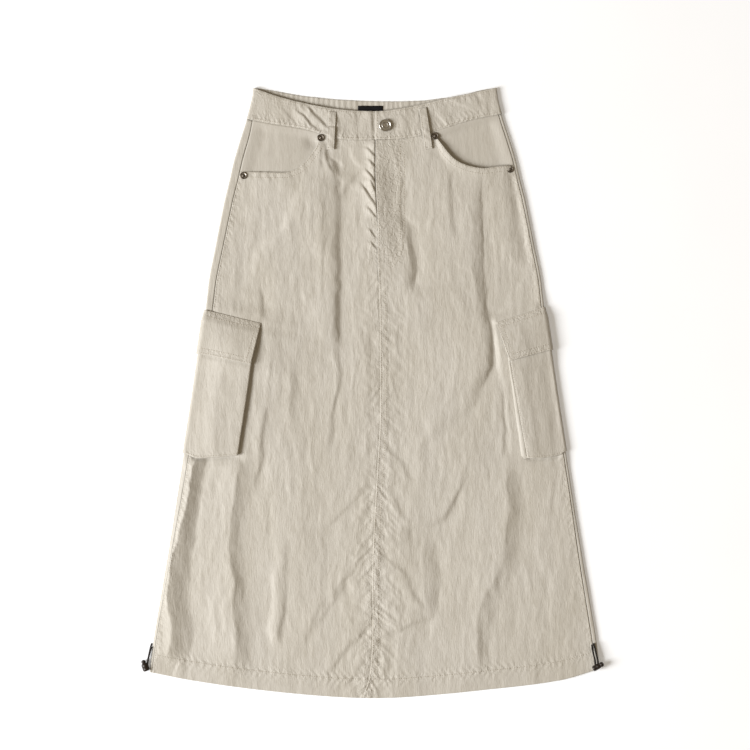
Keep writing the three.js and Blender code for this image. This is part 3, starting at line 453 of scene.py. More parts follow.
def addObject(name, mesh):
    piece = bpy.data.objects.new(name, mesh)
    bpy.context.scene.collection.objects.link(piece)
    return piece


def meshFrom(name, points, faces, smooth=True):
    mesh = bpy.data.meshes.new(name)
    mesh.from_pydata([tuple(p) for p in points], [], faces)
    mesh.update()
    if smooth:
        mesh.polygons.foreach_set("use_smooth", [True] * len(mesh.polygons))
    return mesh


def clothWall(name, outer, inner, gather=None, coarse=1):
    # a thin closed sheet: rows down the skirt, columns to the right of the outer face;
    # the hidden face keeps one row and column in `coarse`
    rows, columns = outer.shape[:2]
    keepRows = sorted(set(range(0, rows, coarse)) | {rows - 1})
    keepColumns = sorted(set(range(0, columns, coarse)) | {columns - 1})
    hidden = inner[np.ix_(keepRows, keepColumns)]
    points = inMetres(np.concatenate([outer.reshape(-1, 3), hidden.reshape(-1, 3)]))
    index = np.arange(rows * columns).reshape(rows, columns)
    low = np.arange(hidden.shape[0] * hidden.shape[1]).reshape(hidden.shape[:2]) + rows * columns
    quads = lambda i: np.stack([i[:-1, :-1], i[1:, :-1], i[1:, 1:], i[:-1, 1:]], axis=-1).reshape(-1, 4)
    flat = np.concatenate([quads(index), quads(low)[:, ::-1]])
    rim = []
    sides = [(index[0, :], low[0, :], keepColumns, False), (index[:, -1], low[:, -1], keepRows, False),
             (index[-1, :], low[-1, :], keepColumns, True), (index[:, 0], low[:, 0], keepRows, True)]
    for line, under, keep, turned in sides:
        for k in range(len(keep) - 1):
            edge = [int(v) for v in line[keep[k]:keep[k + 1] + 1]]
            face = edge + [int(under[k + 1]), int(under[k])]
            rim.append(face[::-1] if turned else face)
    loops = np.concatenate([flat.ravel(), np.concatenate([np.array(f) for f in rim])]).astype(np.int32)
    sizes = np.concatenate([np.full(len(flat), 4), [len(f) for f in rim]])
    starts = np.concatenate([[0], np.cumsum(sizes)[:-1]]).astype(np.int32)
    mesh = bpy.data.meshes.new(name)
    mesh.vertices.add(len(points))
    mesh.vertices.foreach_set("co", points.ravel())
    mesh.loops.add(len(loops))
    mesh.loops.foreach_set("vertex_index", loops)
    mesh.polygons.add(len(sizes))
    mesh.polygons.foreach_set("loop_start", starts)
    mesh.polygons.foreach_set("use_smooth", np.arange(len(sizes)) < len(flat))
    mesh.update(calc_edges=True)
    mesh.validate()
    if gather is not None:
        layer = mesh.attributes.new("gather", "FLOAT", "POINT")
        layer.data.foreach_set("value", np.concatenate([gather.ravel(), np.zeros(hidden.shape[0] * hidden.shape[1])]))
    return addObject(name, mesh)


def sunkInner(outer, reach, depth):
    # a hidden face that stays under the lowest point of the outer one close by
    z = outer[..., 2]
    lowest = z.copy()
    for axis in (0, 1):
        padded = np.pad(lowest, [(reach, reach) if k == axis else (0, 0) for k in (0, 1)], mode="edge")
        parts = [np.take(padded, np.arange(k, k + z.shape[axis]), axis=axis) for k in range(2 * reach + 1)]
        lowest = np.min(parts, axis=0)
    return np.stack([outer[..., 0], outer[..., 1], lowest - depth], axis=-1)


def offsetGrid(middle, thickness):
    # the outer and inner faces of a sheet, square to its middle
    down = np.gradient(middle, axis=0)
    across = np.gradient(middle, axis=1)
    normal = np.cross(down, across)
    normal /= np.maximum(np.linalg.norm(normal, axis=2, keepdims=True), 1e-9)
    return middle + normal * thickness / 2, middle - normal * thickness / 2


def settle(start, following):
    value = start
    for _ in range(12):
        value = following(value)
    return value


def laidPatch(name, edges, across, down, height, thickness, gatherAt=None, coarse=1):
    across = np.asarray(across)
    xAt = lambda y: mix(edges["left"](y), edges["right"](y), across)
    top = settle(np.full(len(across), 350.0), lambda y: edges["top"](xAt(y)))
    bottom = settle(np.full(len(across), -400.0), lambda y: edges["bottom"](xAt(y)))
    y = mix(top[None, :], bottom[None, :], np.asarray(down)[:, None])
    x = mix(edges["left"](y), edges["right"](y), across[None, :])
    middle = np.stack([x, y, height(x, y)], axis=-1)
    outer, inner = offsetGrid(middle, thickness)
    if coarse > 1:
        inner = sunkInner(outer, coarse, thickness * 0.7)
    return clothWall(name, outer, inner, gatherAt(x, y) if gatherAt else None, coarse)


def spread(*runs):
    # station values from runs of (end, count), the first starting at 0
    values, at = [0.0], 0.0
    for end, count in runs:
        values += [at + (end - at) * (k + 1) / count for k in range(count)]
        at = end
    return np.array(values)


def tubePoint(side, s, y, offset):
    # s runs round the side fold: above zero on the front, below zero on the back
    reach = halfWidth(y) - levels["fold"]
    if s > quarter:
        x = side * (reach - (s - quarter))
        return np.stack([x, y, frontBase(x, y) + offset], axis=-1)
    if s < -quarter:
        x = side * (reach + s + quarter)
        return np.stack([x, y, backHeight(side, levels["fold"] - s - quarter, y) - offset], axis=-1)
    angle = s / levels["fold"]
    radius = levels["fold"] + offset
    middle = backHeight(side, np.zeros_like(y), y) + levels["fold"]
    return np.stack([side * (reach + radius * math.cos(angle)), y, middle + radius * math.sin(angle) + 0 * y], axis=-1)


print("stage: helpers ready")

# camera: straight above, one photo pixel is 1.38 mm

cameraLook = dict(field=1.035, height=3.4, centre=(0.0003, 0.0247))
camera = bpy.data.objects.new("camera", bpy.data.cameras.new("camera"))
bpy.context.scene.collection.objects.link(camera)
camera.data.sensor_width = 36
camera.data.lens = 36 * cameraLook["height"] / cameraLook["field"]
camera.data.clip_end = 50
camera.location = (*cameraLook["centre"], cameraLook["height"])
bpy.context.scene.camera = camera


# materials

def addNode(material, kind, inputs=None, stops=None, **settings):
    # inputs: socket name or number to a value, or to a (node, output) pair to link from;
    # stops: a colour ramp's places and colours
    tree = material.node_tree
    node = tree.nodes.new(kind)
    for key, value in settings.items():
        setattr(node, key, value)
    for k, (position, colour) in enumerate(stops or []):
        elements = node.color_ramp.elements
        element = elements[k] if k < 2 else elements.new(position)
        element.position = position
        element.color = toLinear(colour)
    for key, value in (inputs or {}).items():
        if isinstance(value, tuple) and hasattr(value[0], "outputs"):
            tree.links.new(value[0].outputs[value[1]], node.inputs[key])
        else:
            node.inputs[key].default_value = value
    return node


def newMaterial(name):
    material = bpy.data.materials.new(name)
    material.use_nodes = True
    material.node_tree.nodes.clear()
    return material


def crushedNylon(name, look):
    # Crushed nylon taffeta: plain weave, crushed wet and set, so fine ripples run down the warp.
    # It gives the eye a dry, slightly silky cloth with long thin light and dark streaks.
    m = newMaterial(name)
    place = addNode(m, "ShaderNodeTexCoord")
    wide, long = 1000 / look["streakWidth"], 1000 / look["streakLength"]
    streakMap = addNode(m, "ShaderNodeMapping", {"Vector": (place, "Object"), "Scale": (wide, long, wide)})
    streaks = addNode(m, "ShaderNodeTexNoise", {"Vector": (streakMap, "Vector"), "Scale": 1.0, "Detail": 4.0,
                                                "Roughness": 0.62, "Distortion": 0.9})
    wide, long = 1000 / look["fineWidth"], 1000 / look["fineLength"]
    finerMap = addNode(m, "ShaderNodeMapping", {"Vector": (place, "Object"), "Scale": (wide, long, wide)})
    finer = addNode(m, "ShaderNodeTexNoise", {"Vector": (finerMap, "Vector"), "Scale": 1.0, "Detail": 3.0,
                                              "Roughness": 0.55, "Distortion": 0.2})
    # weave: threads 0.18 mm apart are far under a pixel, so they are drawn 0.9 mm apart
    weaveMap = addNode(m, "ShaderNodeMapping", {"Vector": (place, "Object"),
                                                "Scale": (1000 / look["thread"],) * 3})
    weave = addNode(m, "ShaderNodeTexNoise", {"Vector": (weaveMap, "Vector"), "Scale": 1.0, "Detail": 1.0})
    patchMap = addNode(m, "ShaderNodeMapping", {"Vector": (place, "Object"), "Scale": (1000 / 60, 1000 / 140, 1000 / 60)})
    patches = addNode(m, "ShaderNodeTexNoise", {"Vector": (patchMap, "Vector"), "Scale": 1.0, "Detail": 2.0})
    tint = addNode(m, "ShaderNodeValToRGB", {"Fac": (streaks, "Fac")},
                   stops=[(0.3, look["dark"]), (0.5, look["colour"]), (0.72, look["light"])])
    tone = addNode(m, "ShaderNodeValToRGB", {"Fac": (patches, "Fac")}, stops=[(0.3, look["shade"]), (0.7, "ffffff")])
    colour = addNode(m, "ShaderNodeMix", {"Factor": 1.0, 6: (tint, "Color"), 7: (tone, "Color")},
                     data_type="RGBA", blend_type="MULTIPLY")
    bumpStreaks = addNode(m, "ShaderNodeBump", {"Strength": 1.0, "Distance": look["streakDepth"] / 1000,
                                                "Height": (streaks, "Fac")})
    bumpFine = addNode(m, "ShaderNodeBump", {"Strength": 1.0, "Distance": look["fineDepth"] / 1000,
                                             "Height": (finer, "Fac"), "Normal": (bumpStreaks, "Normal")})
    # the puckers that stitching gathers beside a seam, where the mesh says so
    gather = addNode(m, "ShaderNodeAttribute", attribute_name="gather")
    gatherMap = addNode(m, "ShaderNodeMapping", {"Vector": (place, "Object"), "Scale": (1000 / look["gatherSize"],) * 3})
    gatherNoise = addNode(m, "ShaderNodeTexNoise", {"Vector": (gatherMap, "Vector"), "Scale": 1.0, "Detail": 2.0,
                                                    "Roughness": 0.45, "Distortion": 0.9})
    centred = addNode(m, "ShaderNodeMath", {0: (gatherNoise, "Fac"), 1: 0.5}, operation="SUBTRACT")
    gathered = addNode(m, "ShaderNodeMath", {0: (centred, 0), 1: (gather, "Fac")}, operation="MULTIPLY")
    bumpGather = addNode(m, "ShaderNodeBump", {"Strength": 1.0, "Distance": look["gatherDepth"] / 1000,
                                               "Height": (gathered, 0), "Normal": (bumpFine, "Normal")})
    bumpWeave = addNode(m, "ShaderNodeBump", {"Strength": 1.0, "Distance": look["threadDepth"] / 1000,
                                              "Height": (weave, "Fac"), "Normal": (bumpGather, "Normal")})
    rough = addNode(m, "ShaderNodeMapRange", {"Value": (streaks, "Fac"), "From Min": 0.3, "From Max": 0.7,
                                              "To Min": look["roughness"] - 0.06, "To Max": look["roughness"] + 0.06})
    shader = addNode(m, "ShaderNodeBsdfPrincipled", {"Base Color": (colour, 2), "Roughness": (rough, "Result"),
                                                     "Normal": (bumpWeave, "Normal"), "IOR": 1.5,
                                                     "Sheen Weight": look["sheen"], "Sheen Roughness": 0.5})
    addNode(m, "ShaderNodeOutputMaterial", {"Surface": (shader, "BSDF")})
    return m


nylonLook = dict(colour="c6c2ba", light="ccc8c0", dark="bdb8ae", shade="f8f7f4", roughness=0.56, sheen=0.1,
                 streakWidth=2.4, streakLength=14, streakDepth=0.42, fineWidth=1.4, fineLength=7, fineDepth=0.3,
                 gatherSize=5, gatherDepth=1.5, thread=0.9, threadDepth=0.05)
nylon = crushedNylon("crushed nylon taffeta", nylonLook)
facingNylon = crushedNylon("crushed nylon taffeta, hip facing",
                           dict(nylonLook, colour="c4c0b8", light="c8c4bc", dark="bfbab1", streakDepth=0.26, fineDepth=0.18))


def spunThread(name, look):
    # Spun polyester sewing thread: matt, its colour painted a little darker than the cloth as shade where it is pulled
    # into it.
    m = newMaterial(name)
    place = addNode(m, "ShaderNodeTexCoord")
    grain = addNode(m, "ShaderNodeTexNoise", {"Vector": (place, "Object"), "Scale": 1000 / look["ply"], "Detail": 2.0})
    tint = addNode(m, "ShaderNodeValToRGB", {"Fac": (grain, "Fac")}, stops=[(0.3, look["dark"]), (0.7, look["colour"])])
    bump = addNode(m, "ShaderNodeBump", {"Distance": 0.0001, "Height": (grain, "Fac")})
    shader = addNode(m, "ShaderNodeBsdfPrincipled", {"Base Color": (tint, "Color"), "Roughness": 0.75, "IOR": 1.5,
                                                     "Normal": (bump, "Normal")})
    addNode(m, "ShaderNodeOutputMaterial", {"Surface": (shader, "BSDF")})
    return m


thread = spunThread("spun polyester thread", dict(colour="ccc5b9", dark="b9b1a3", ply=0.9))


def castMetal(name, look):
    # Die-cast zinc, plated and tumbled: soft bright metal with faint brushing and darker hollows.
    m = newMaterial(name)
    place = addNode(m, "ShaderNodeTexCoord")
    wear = addNode(m, "ShaderNodeTexNoise", {"Vector": (place, "Object"), "Scale": 1000 / look["wear"], "Detail": 3.0})
    tint = addNode(m, "ShaderNodeValToRGB", {"Fac": (wear, "Fac")}, stops=[(0.35, look["dark"]), (0.65, look["colour"])])
    rough = addNode(m, "ShaderNodeMapRange", {"Value": (wear, "Fac"), "From Min": 0.3, "From Max": 0.7,
                                              "To Min": look["roughness"] + 0.08, "To Max": look["roughness"] - 0.05})
    bump = addNode(m, "ShaderNodeBump", {"Distance": 0.00005, "Height": (wear, "Fac")})
    shader = addNode(m, "ShaderNodeBsdfPrincipled", {"Base Color": (tint, "Color"), "Metallic": 1.0,
                                                     "Roughness": (rough, "Result"), "Normal": (bump, "Normal")})
    addNode(m, "ShaderNodeOutputMaterial", {"Surface": (shader, "BSDF")})
    return m


buttonMetal = castMetal("plated zinc, satin silver", dict(colour="d2d0cc", dark="a9a6a1", roughness=0.3, wear=2.2))
rivetMetal = castMetal("plated zinc, antique nickel", dict(colour="9c948a", dark="4c453e", roughness=0.38, wear=1.6))


def braidedCord(name, look):
    # Round braided polyester over an elastic core: near black, ribbed at a slant.
    m = newMaterial(name)
    place = addNode(m, "ShaderNodeTexCoord")
    ribs = addNode(m, "ShaderNodeTexWave", {"Vector": (place, "Object"), "Scale": 1000 / look["plait"] / 6.28,
                                            "Distortion": 2.0, "Detail": 1.0, "Detail Scale": 2.0},
                   wave_type="BANDS", bands_direction="DIAGONAL")
    tint = addNode(m, "ShaderNodeValToRGB", {"Fac": (ribs, "Fac")}, stops=[(0.2, look["dark"]), (0.8, look["colour"])])
    bump = addNode(m, "ShaderNodeBump", {"Distance": 0.0003, "Height": (ribs, "Fac")})
    shader = addNode(m, "ShaderNodeBsdfPrincipled", {"Base Color": (tint, "Color"), "Roughness": 0.75, "IOR": 1.5,
                                                     "Specular IOR Level": 0.3, "Normal": (bump, "Normal")})
    addNode(m, "ShaderNodeOutputMaterial", {"Surface": (shader, "BSDF")})
    return m


cordBraid = braidedCord("braided polyester cord", dict(colour="2e2925", dark="100d0b", plait=1.1))


def mouldedPlastic(name, look):
    # Injection-moulded acetal: smooth and waxy, with a fine spark-eroded grain.
    m = newMaterial(name)
    place = addNode(m, "ShaderNodeTexCoord")
    grain = addNode(m, "ShaderNodeTexNoise", {"Vector": (place, "Object"), "Scale": 1000 / look["grain"], "Detail": 2.0})
    tint = addNode(m, "ShaderNodeValToRGB", {"Fac": (grain, "Fac")}, stops=[(0.3, look["dark"]), (0.7, look["colour"])])
    bump = addNode(m, "ShaderNodeBump", {"Distance": 0.00004, "Height": (grain, "Fac")})
    shader = addNode(m, "ShaderNodeBsdfPrincipled", {"Base Color": (tint, "Color"), "Roughness": look["roughness"],
                                                     "IOR": 1.48, "Normal": (bump, "Normal")})
    addNode(m, "ShaderNodeOutputMaterial", {"Surface": (shader, "BSDF")})
    return m


lockPlastic = mouldedPlastic("moulded acetal", dict(colour="2c221b", dark="1d1612", roughness=0.36, grain=0.6))


def wovenTape(name, look):
    # Damask-woven polyester tape: dense, flat, nearly black with a faint rib.
    m = newMaterial(name)
    place = addNode(m, "ShaderNodeTexCoord")
    ribs = addNode(m, "ShaderNodeTexWave", {"Vector": (place, "Object"), "Scale": 1000 / look["rib"] / 6.28},
                   wave_type="BANDS", bands_direction="Y")
    tint = addNode(m, "ShaderNodeValToRGB", {"Fac": (ribs, "Fac")}, stops=[(0.2, look["dark"]), (0.8, look["colour"])])
    bump = addNode(m, "ShaderNodeBump", {"Distance": 0.0001, "Height": (ribs, "Fac")})
    shader = addNode(m, "ShaderNodeBsdfPrincipled", {"Base Color": (tint, "Color"), "Roughness": 0.75, "IOR": 1.5,
                                                     "Specular IOR Level": 0.25, "Normal": (bump, "Normal")})
    addNode(m, "ShaderNodeOutputMaterial", {"Surface": (shader, "BSDF")})
    return m


labelTape = wovenTape("damask-woven tape", dict(colour="0f0e12", dark="070609", rib=0.8))
print("stage: materials ready")


def finish(piece, material, slot, *nodes):
    piece.data.materials.clear()
    piece.data.materials.append(material)
    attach(piece, "root")
    if nodes:
        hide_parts(*nodes)
    return piece


# drawcords and their locks

cords = dict(
    drawcord_left_a=[(-307.6, -346, 2.0), (-309.2, -351, 2.2), (-310.8, -358, 2.6), (-312.4, -366, 3.1),
                     (-313.6, -374, 3.4), (-314.4, -380.8, 3.4)],
    drawcord_left_b=[(-307.4, -350.6, 5.0), (-308.8, -354, 5.6), (-310.6, -360, 6.2), (-312.4, -367, 6.6),
                     (-313.6, -374, 6.8), (-314.4, -380.8, 6.8)],
    drawcord_right_a=[(301.0, -345.4, 6.9), (302.8, -352, 7.4), (304.8, -361, 8.4), (306.6, -370, 9.4),
                      (307.0, -379, 9.6)],
    drawcord_right_b=[(298.6, -347.4, 7.2), (299.4, -354, 7.9), (301.2, -362, 8.8), (303.0, -370, 9.4),
                      (303.4, -379.2, 9.6)])
cordLook = dict(diameter=2.4, points=28)


def smoothPath(points, count):
    # a Catmull-Rom line through the points
    p = np.array(points, float)
    padded = np.vstack([2 * p[0] - p[1], p, 2 * p[-1] - p[-2]])
    line = []
    for k in range(count):
        t = k / (count - 1) * (len(p) - 1)
        i = min(int(t), len(p) - 2)
        u = t - i
        a, b, c, d = padded[i:i + 4]
        line.append(0.5 * ((2 * b) + (c - a) * u + (2 * a - 5 * b + 4 * c - d) * u * u + (3 * b - a - 3 * c + d) * u ** 3))
    return np.array(line)


def makeCord(name, points):
    line = inMetres(smoothPath(points, cordLook["points"]))
    curve = bpy.data.curves.new(name, "CURVE")
    curve.dimensions = "3D"
    curve.bevel_depth = cordLook["diameter"] / 2000
    curve.bevel_resolution = 4
    curve.use_fill_caps = True
    spline = curve.splines.new("POLY")
    spline.points.add(len(line) - 1)
    for point, place in zip(spline.points, line):
        point.co = (*place, 1)
    piece = addObject("braid_" + name, curve)
    finish(piece, cordBraid, "cord_braid", name)
    length = float(np.linalg.norm(np.diff(line, axis=0), axis=1).sum())
    return piece, line[0], length


def latheMesh(name, profile, sides):
    # a closed turned body from (radius, height) points
    points, faces = [], []
    for r, z in profile:
        for k in range(sides):
            angle = 2 * math.pi * k / sides
            points.append((r * math.cos(angle), r * math.sin(angle), z))
    for i in range(len(profile) - 1):
        for k in range(sides):
            n = (k + 1) % sides
            faces.append((i * sides + k, i * sides + n, (i + 1) * sides + n, (i + 1) * sides + k))
    faces.append(tuple(range(sides))[::-1])
    faces.append(tuple(range((len(profile) - 1) * sides, len(profile) * sides)))
    return points, faces


def turnedPiece(name, profile, sides, centre, toward):
    points, faces = latheMesh(name, profile, sides)
    turn = Vector((0, 0, 1)).rotation_difference(Vector(toward).normalized())
    placed = [tuple(turn @ Vector(p) + Vector(centre)) for p in points]
    return addObject(name, meshFrom(name, inMetres(placed), faces))


locks = dict(
    left=dict(centre=(-316.2, -378.6, 5.1), toward=(-0.36, 0.93, 0), radius=4.9, length=11, head=3.0),
    right=dict(centre=(305, -378.1, 9.6), toward=(0.86, 0.46, 0), radius=4.0, length=11.6, head=3.5))


def barrelProfile(radius, length):
    # a moulded barrel with two grip grooves, tapered towards its button
    half = length / 2
    profile = [(0.01, -half), (radius * 0.6, -half), (radius * 0.8, -half + 0.3), (radius * 0.94, -half + 1.1),
               (radius, -half + 2.4)]
    for z in (-1.2, 0.2):
        profile += [(radius, z - 0.5), (radius * 0.96, z - 0.3), (radius * 0.96, z + 0.3), (radius, z + 0.5)]
    return profile + [(radius * 0.97, half - 3), (radius * 0.9, half - 1.4), (radius * 0.78, half - 0.3),
                      (radius * 0.66, half), (0.01, half)]


for cordName, cordPoints in cords.items():
    makeCord(cordName, cordPoints)
for side, lock in locks.items():
    barrel = barrelProfile(lock["radius"], lock["length"])
    body = turnedPiece("lock_barrel_" + side, barrel, 32, lock["centre"], lock["toward"])
    finish(body, lockPlastic, "lock_plastic", "cord_lock_" + side)
    toward = Vector(lock["toward"]).normalized()
    start = Vector(lock["centre"]) + toward * (lock["length"] / 2 - 0.4)
    head = lock["head"]
    profile = [(0.01, 0), (head * 0.86, 0), (head * 0.88, 1.0), (head, 1.7), (head, 3.0), (head * 0.93, 3.9),
               (head * 0.72, 4.7), (head * 0.4, 5.2), (0.01, 5.4)]
    plunger = turnedPiece("lock_button_" + side, profile, 24, start, toward)
    finish(plunger, lockPlastic, "lock_plastic", "lock_plunger_" + side)
print("stage: drawcords and locks made")

# front panels

panelLook = dict(thickness=0.6, rows=420, coarse=3)


def panelRows():
    # closer rows in the turned hem, 26 mm deep
    return spread((0.22, 120), (0.955, panelLook["rows"] - 146), (1.0, 26))


leftEdges = dict(left=lambda y: -(halfWidth(y) - insetLeft(y) - 0.2),
                 right=lambda y: centreSeam(y) + 9 + 18 * step(120, 150, y),
                 top=lambda x: np.where(x < -75.9, scoopLeft(x), seamFront(x) + 0.4), bottom=hem)
rightEdges = dict(left=centreSeam, right=lambda y: halfWidth(y) - insetRight(y) - 0.2,
                  top=lambda x: np.where(x > 82.7, scoopRight(x), seamFront(x) + 0.4), bottom=hem)

frontLeft = laidPatch("panel_front_left", leftEdges, spread((0.06, 12), (0.8, 124), (1.0, 54)), panelRows(),
                      frontLeftHeight, panelLook["thickness"], frontGather, panelLook["coarse"])
finish(frontLeft, nylon, "shell_cloth", "front_left")
frontRight = laidPatch("panel_front_right", rightEdges, spread((0.2, 54), (0.93, 122), (1.0, 14)), panelRows(),
                       frontRightHeight, panelLook["thickness"], frontGather, panelLook["coarse"])
finish(frontRight, nylon, "shell_cloth", "front_right")
print("stage: front panels made")

# hip facings

facingLook = dict(thickness=0.5, under=18, dropLeft=1.7, dropRight=3.3, corner=2.6)


def facingHeight(x, y):
    # level with the side seam and the waistband, lower towards the pocket's mouth
    pull = 0.5 * latticeNoise(x, y, 26, 40, 81)
    inside = step(1, 22, besideSide(x, y)) * step(0, 14, seamFront(x) - y)
    drop = bySide(x, facingLook["dropLeft"], facingLook["dropRight"])
    drop = drop + facingLook["corner"] * np.exp(-(((x + 86) / 10) ** 2) - ((y - 345) / 10) ** 2)
    # its inner edge stays under the creases below the left rivet
    drop = drop + 1.9 * step(-77, -64, x) * step(0, -30, x)
    return frontBase(x, y) - (drop - pull) * inside + crinkleAt(x, y, 0.6) * inside


facingLeftEdges = dict(left=leftEdges["left"], right=lambda y: -60 + 0 * y, top=lambda x: seamFront(x) + 0.4,
                       bottom=lambda x: scoopLeft(np.minimum(x, -77)) - facingLook["under"])
facingRightEdges = dict(left=lambda y: 66 + 0 * y, right=rightEdges["right"], top=lambda x: seamFront(x) + 0.4,
                        bottom=lambda x: scoopRight(np.maximum(x, 84)) - facingLook["under"])
facingLeft = laidPatch("facing_left", facingLeftEdges, spread((1.0, 64)), spread((1.0, 36)), facingHeight, facingLook["thickness"])
finish(facingLeft, facingNylon, "shell_cloth", "hip_facing_left")
facingRight = laidPatch("facing_right", facingRightEdges, spread((1.0, 64)), spread((1.0, 36)), facingHeight, facingLook["thickness"])
finish(facingRight, facingNylon, "shell_cloth", "hip_facing_right")
print("stage: hip facings made")

# back panel: round both side folds to the side seams

backLook = dict(thickness=0.6, rows=240, seamGap=0.2)


def backColumn(station, y, offset):
    if "part" in station:
        edge = halfWidth(y) - levels["fold"] - 120 + quarter
        x = mix(edge, -edge, station["part"])
        flat = 0.12 * latticeNoise(x, y, 20, 80, 91)
        return np.stack([x, y, np.maximum(levels["back"] - offset + flat * 0.5, 0.02)], axis=-1)
    side = station["side"]
    if "seam" in station:
        s = inset(side, y) - backLook["seamGap"] + quarter - levels["fold"]
        along = mix(quarter, s, station["seam"])
        reach = halfWidth(y) - levels["fold"]
        x = side * (reach - (along - quarter))
        ripple = 0.2 * pucker(y, along - s, 9, 6, 0.8, 41) + crinkleAt(x, y, 0.5)
        return np.stack([x, y, frontBase(x, y) + offset + ripple * station["seam"]], axis=-1)
    wobble = 0.12 * latticeNoise(y, 0 * y + station["s"] * 3, 26, 9, 92 + side)
    return tubePoint(side, station["s"], y, offset + wobble * step(-30, -8, station["s"]))


def wrappedSheet(name, stations, place, topOf, bottomOf, rows, thickness, gatherAt=None):
    outer, inner, gather = [], [], []
    for station in stations:
        top = settle(np.array([375.0]), lambda y: topOf(station, place(station, y, 0)[..., 0]))
        bottom = settle(np.array([-385.0]), lambda y: bottomOf(station, place(station, y, 0)[..., 0]))
        y = mix(top, bottom, rows)
        outer.append(place(station, y, thickness / 2))
        inner.append(place(station, y, -thickness / 2))
        gather.append(gatherAt(outer[-1][..., 0], y) if gatherAt else 0 * y)
    return clothWall(name, np.stack(outer, axis=1), np.stack(inner, axis=1), np.stack(gather, axis=1))


turnSteps = [1, 0.8, 0.6, 0.4, 0.2, 0, -0.2, -0.4, -0.6, -0.8, -1]
behindSteps = [-6, -10, -16, -24, -34, -46, -60, -72, -84, -96, -108, -120]
stations = [dict(side=1, seam=part) for part in (1, 0.66, 0.33)]
stations += [dict(side=1, s=part * quarter) for part in turnSteps] + [dict(side=1, s=s) for s in behindSteps]
stations += [dict(part=k / 12) for k in range(1, 12)]
stations += [dict(side=-1, s=s) for s in reversed(behindSteps)] + [dict(side=-1, s=part * quarter) for part in reversed(turnSteps)]
stations += [dict(side=-1, seam=part) for part in (0.2, 0.4, 0.6, 0.8, 1)]
onFront = lambda station: "seam" in station or station.get("s", -1) > 0
back = wrappedSheet("panel_back", stations, backColumn,
                    lambda station, x: (seamFront(x) if onFront(station) else seamBack(x)) - 0.15,
                    lambda station, x: hem(x), spread((1.0, backLook["rows"])), backLook["thickness"])
finish(back, nylon, "shell_cloth", "back")
print("stage: back panel made")

# waistband: from the centre front round the right side and the back, and in under its own start

bandLook = dict(thickness=1.5, rows=22, lapRise=0.6, lapTo=38, dive=1.4)


def bandColumn(station, y, offset):
    fold = levels["bandFold"]
    if "x" in station:
        x = station["x"] + 0 * y
        if station.get("behind"):
            inside = 0.55 * latticeNoise(x, y, 11, 14, 75) + 0.3 * np.sin(x / 1.15 + 2 * latticeNoise(x, y, 14, 30, 76))
            z = 1.0 - offset + np.maximum(inside, -0.5) * (offset < 0)
            return np.stack([x, y, z], axis=-1)
        rise = bandLook["lapRise"] * (1 - step(bandLook["lapTo"], bandLook["lapTo"] + 16, x))
        if not station.get("over"):
            rise = -bandLook["dive"] * step(-6, 1, x)
        away = step(quarter, 14, edgeDistance(x, y))
        return np.stack([x, y, mix(levels["band"] + 0 * x, bandHeight(x, y), away) + rise + offset], axis=-1)
    angle = station["s"] / fold
    radius = fold + offset
    x = station["side"] * (halfWidth(y) - fold + radius * math.cos(angle))
    return np.stack([x, y, 1.0 + fold + radius * math.sin(angle) + 0 * y], axis=-1)


bandQuarter = math.pi / 2 * levels["bandFold"]
bandStations = [dict(x=x, over=True) for x in np.arange(0.4, 164, 1.5)]
bandStations += [dict(side=1, s=part * bandQuarter) for part in turnSteps]
bandStations += [dict(x=x, behind=True) for x in np.arange(160, -161, -1.6)]
bandStations += [dict(side=-1, s=part * bandQuarter) for part in reversed(turnSteps)]
bandStations += [dict(x=x) for x in np.arange(-164, 33, 1.5)]
behindOf = lambda station: station.get("behind") or station.get("s", 1) < -0.01
band = wrappedSheet("waistband_strip", bandStations, bandColumn,
                    lambda station, x: topBack(x) if behindOf(station) else topFront(x),
                    lambda station, x: (seamBack(x) if behindOf(station) else seamFront(x)) + 0.1,
                    spread((0.08, 3), (0.92, bandLook["rows"]), (1.0, 3)), bandLook["thickness"],
                    lambda x, y: 0.35 + 0.55 * np.exp(-(((y - seamFront(x) - 4) / 5) ** 2)) + 0.4 * np.exp(-(((topFront(x) - 4 - y) / 5) ** 2)))
finish(band, nylon, "shell_cloth", "waistband")
print("stage: waistband made")

# cargo pockets: face, gusset and flap on each side

cargoLook = dict(thickness=0.9, faceOffset=1.7, flapOffset=3.7, flapThickness=1.3, gussetThickness=0.7,
                 tuck=dict(left=2.6, right=0.6))


def pocketRise(cargo, d, y):
    # the filled pocket stands up towards its inner side, more lower down
    top = cargo["flapTop"](d)
    return cargo["rise"] * step(2, 46, d) * step(top - 1, top - 44, y)


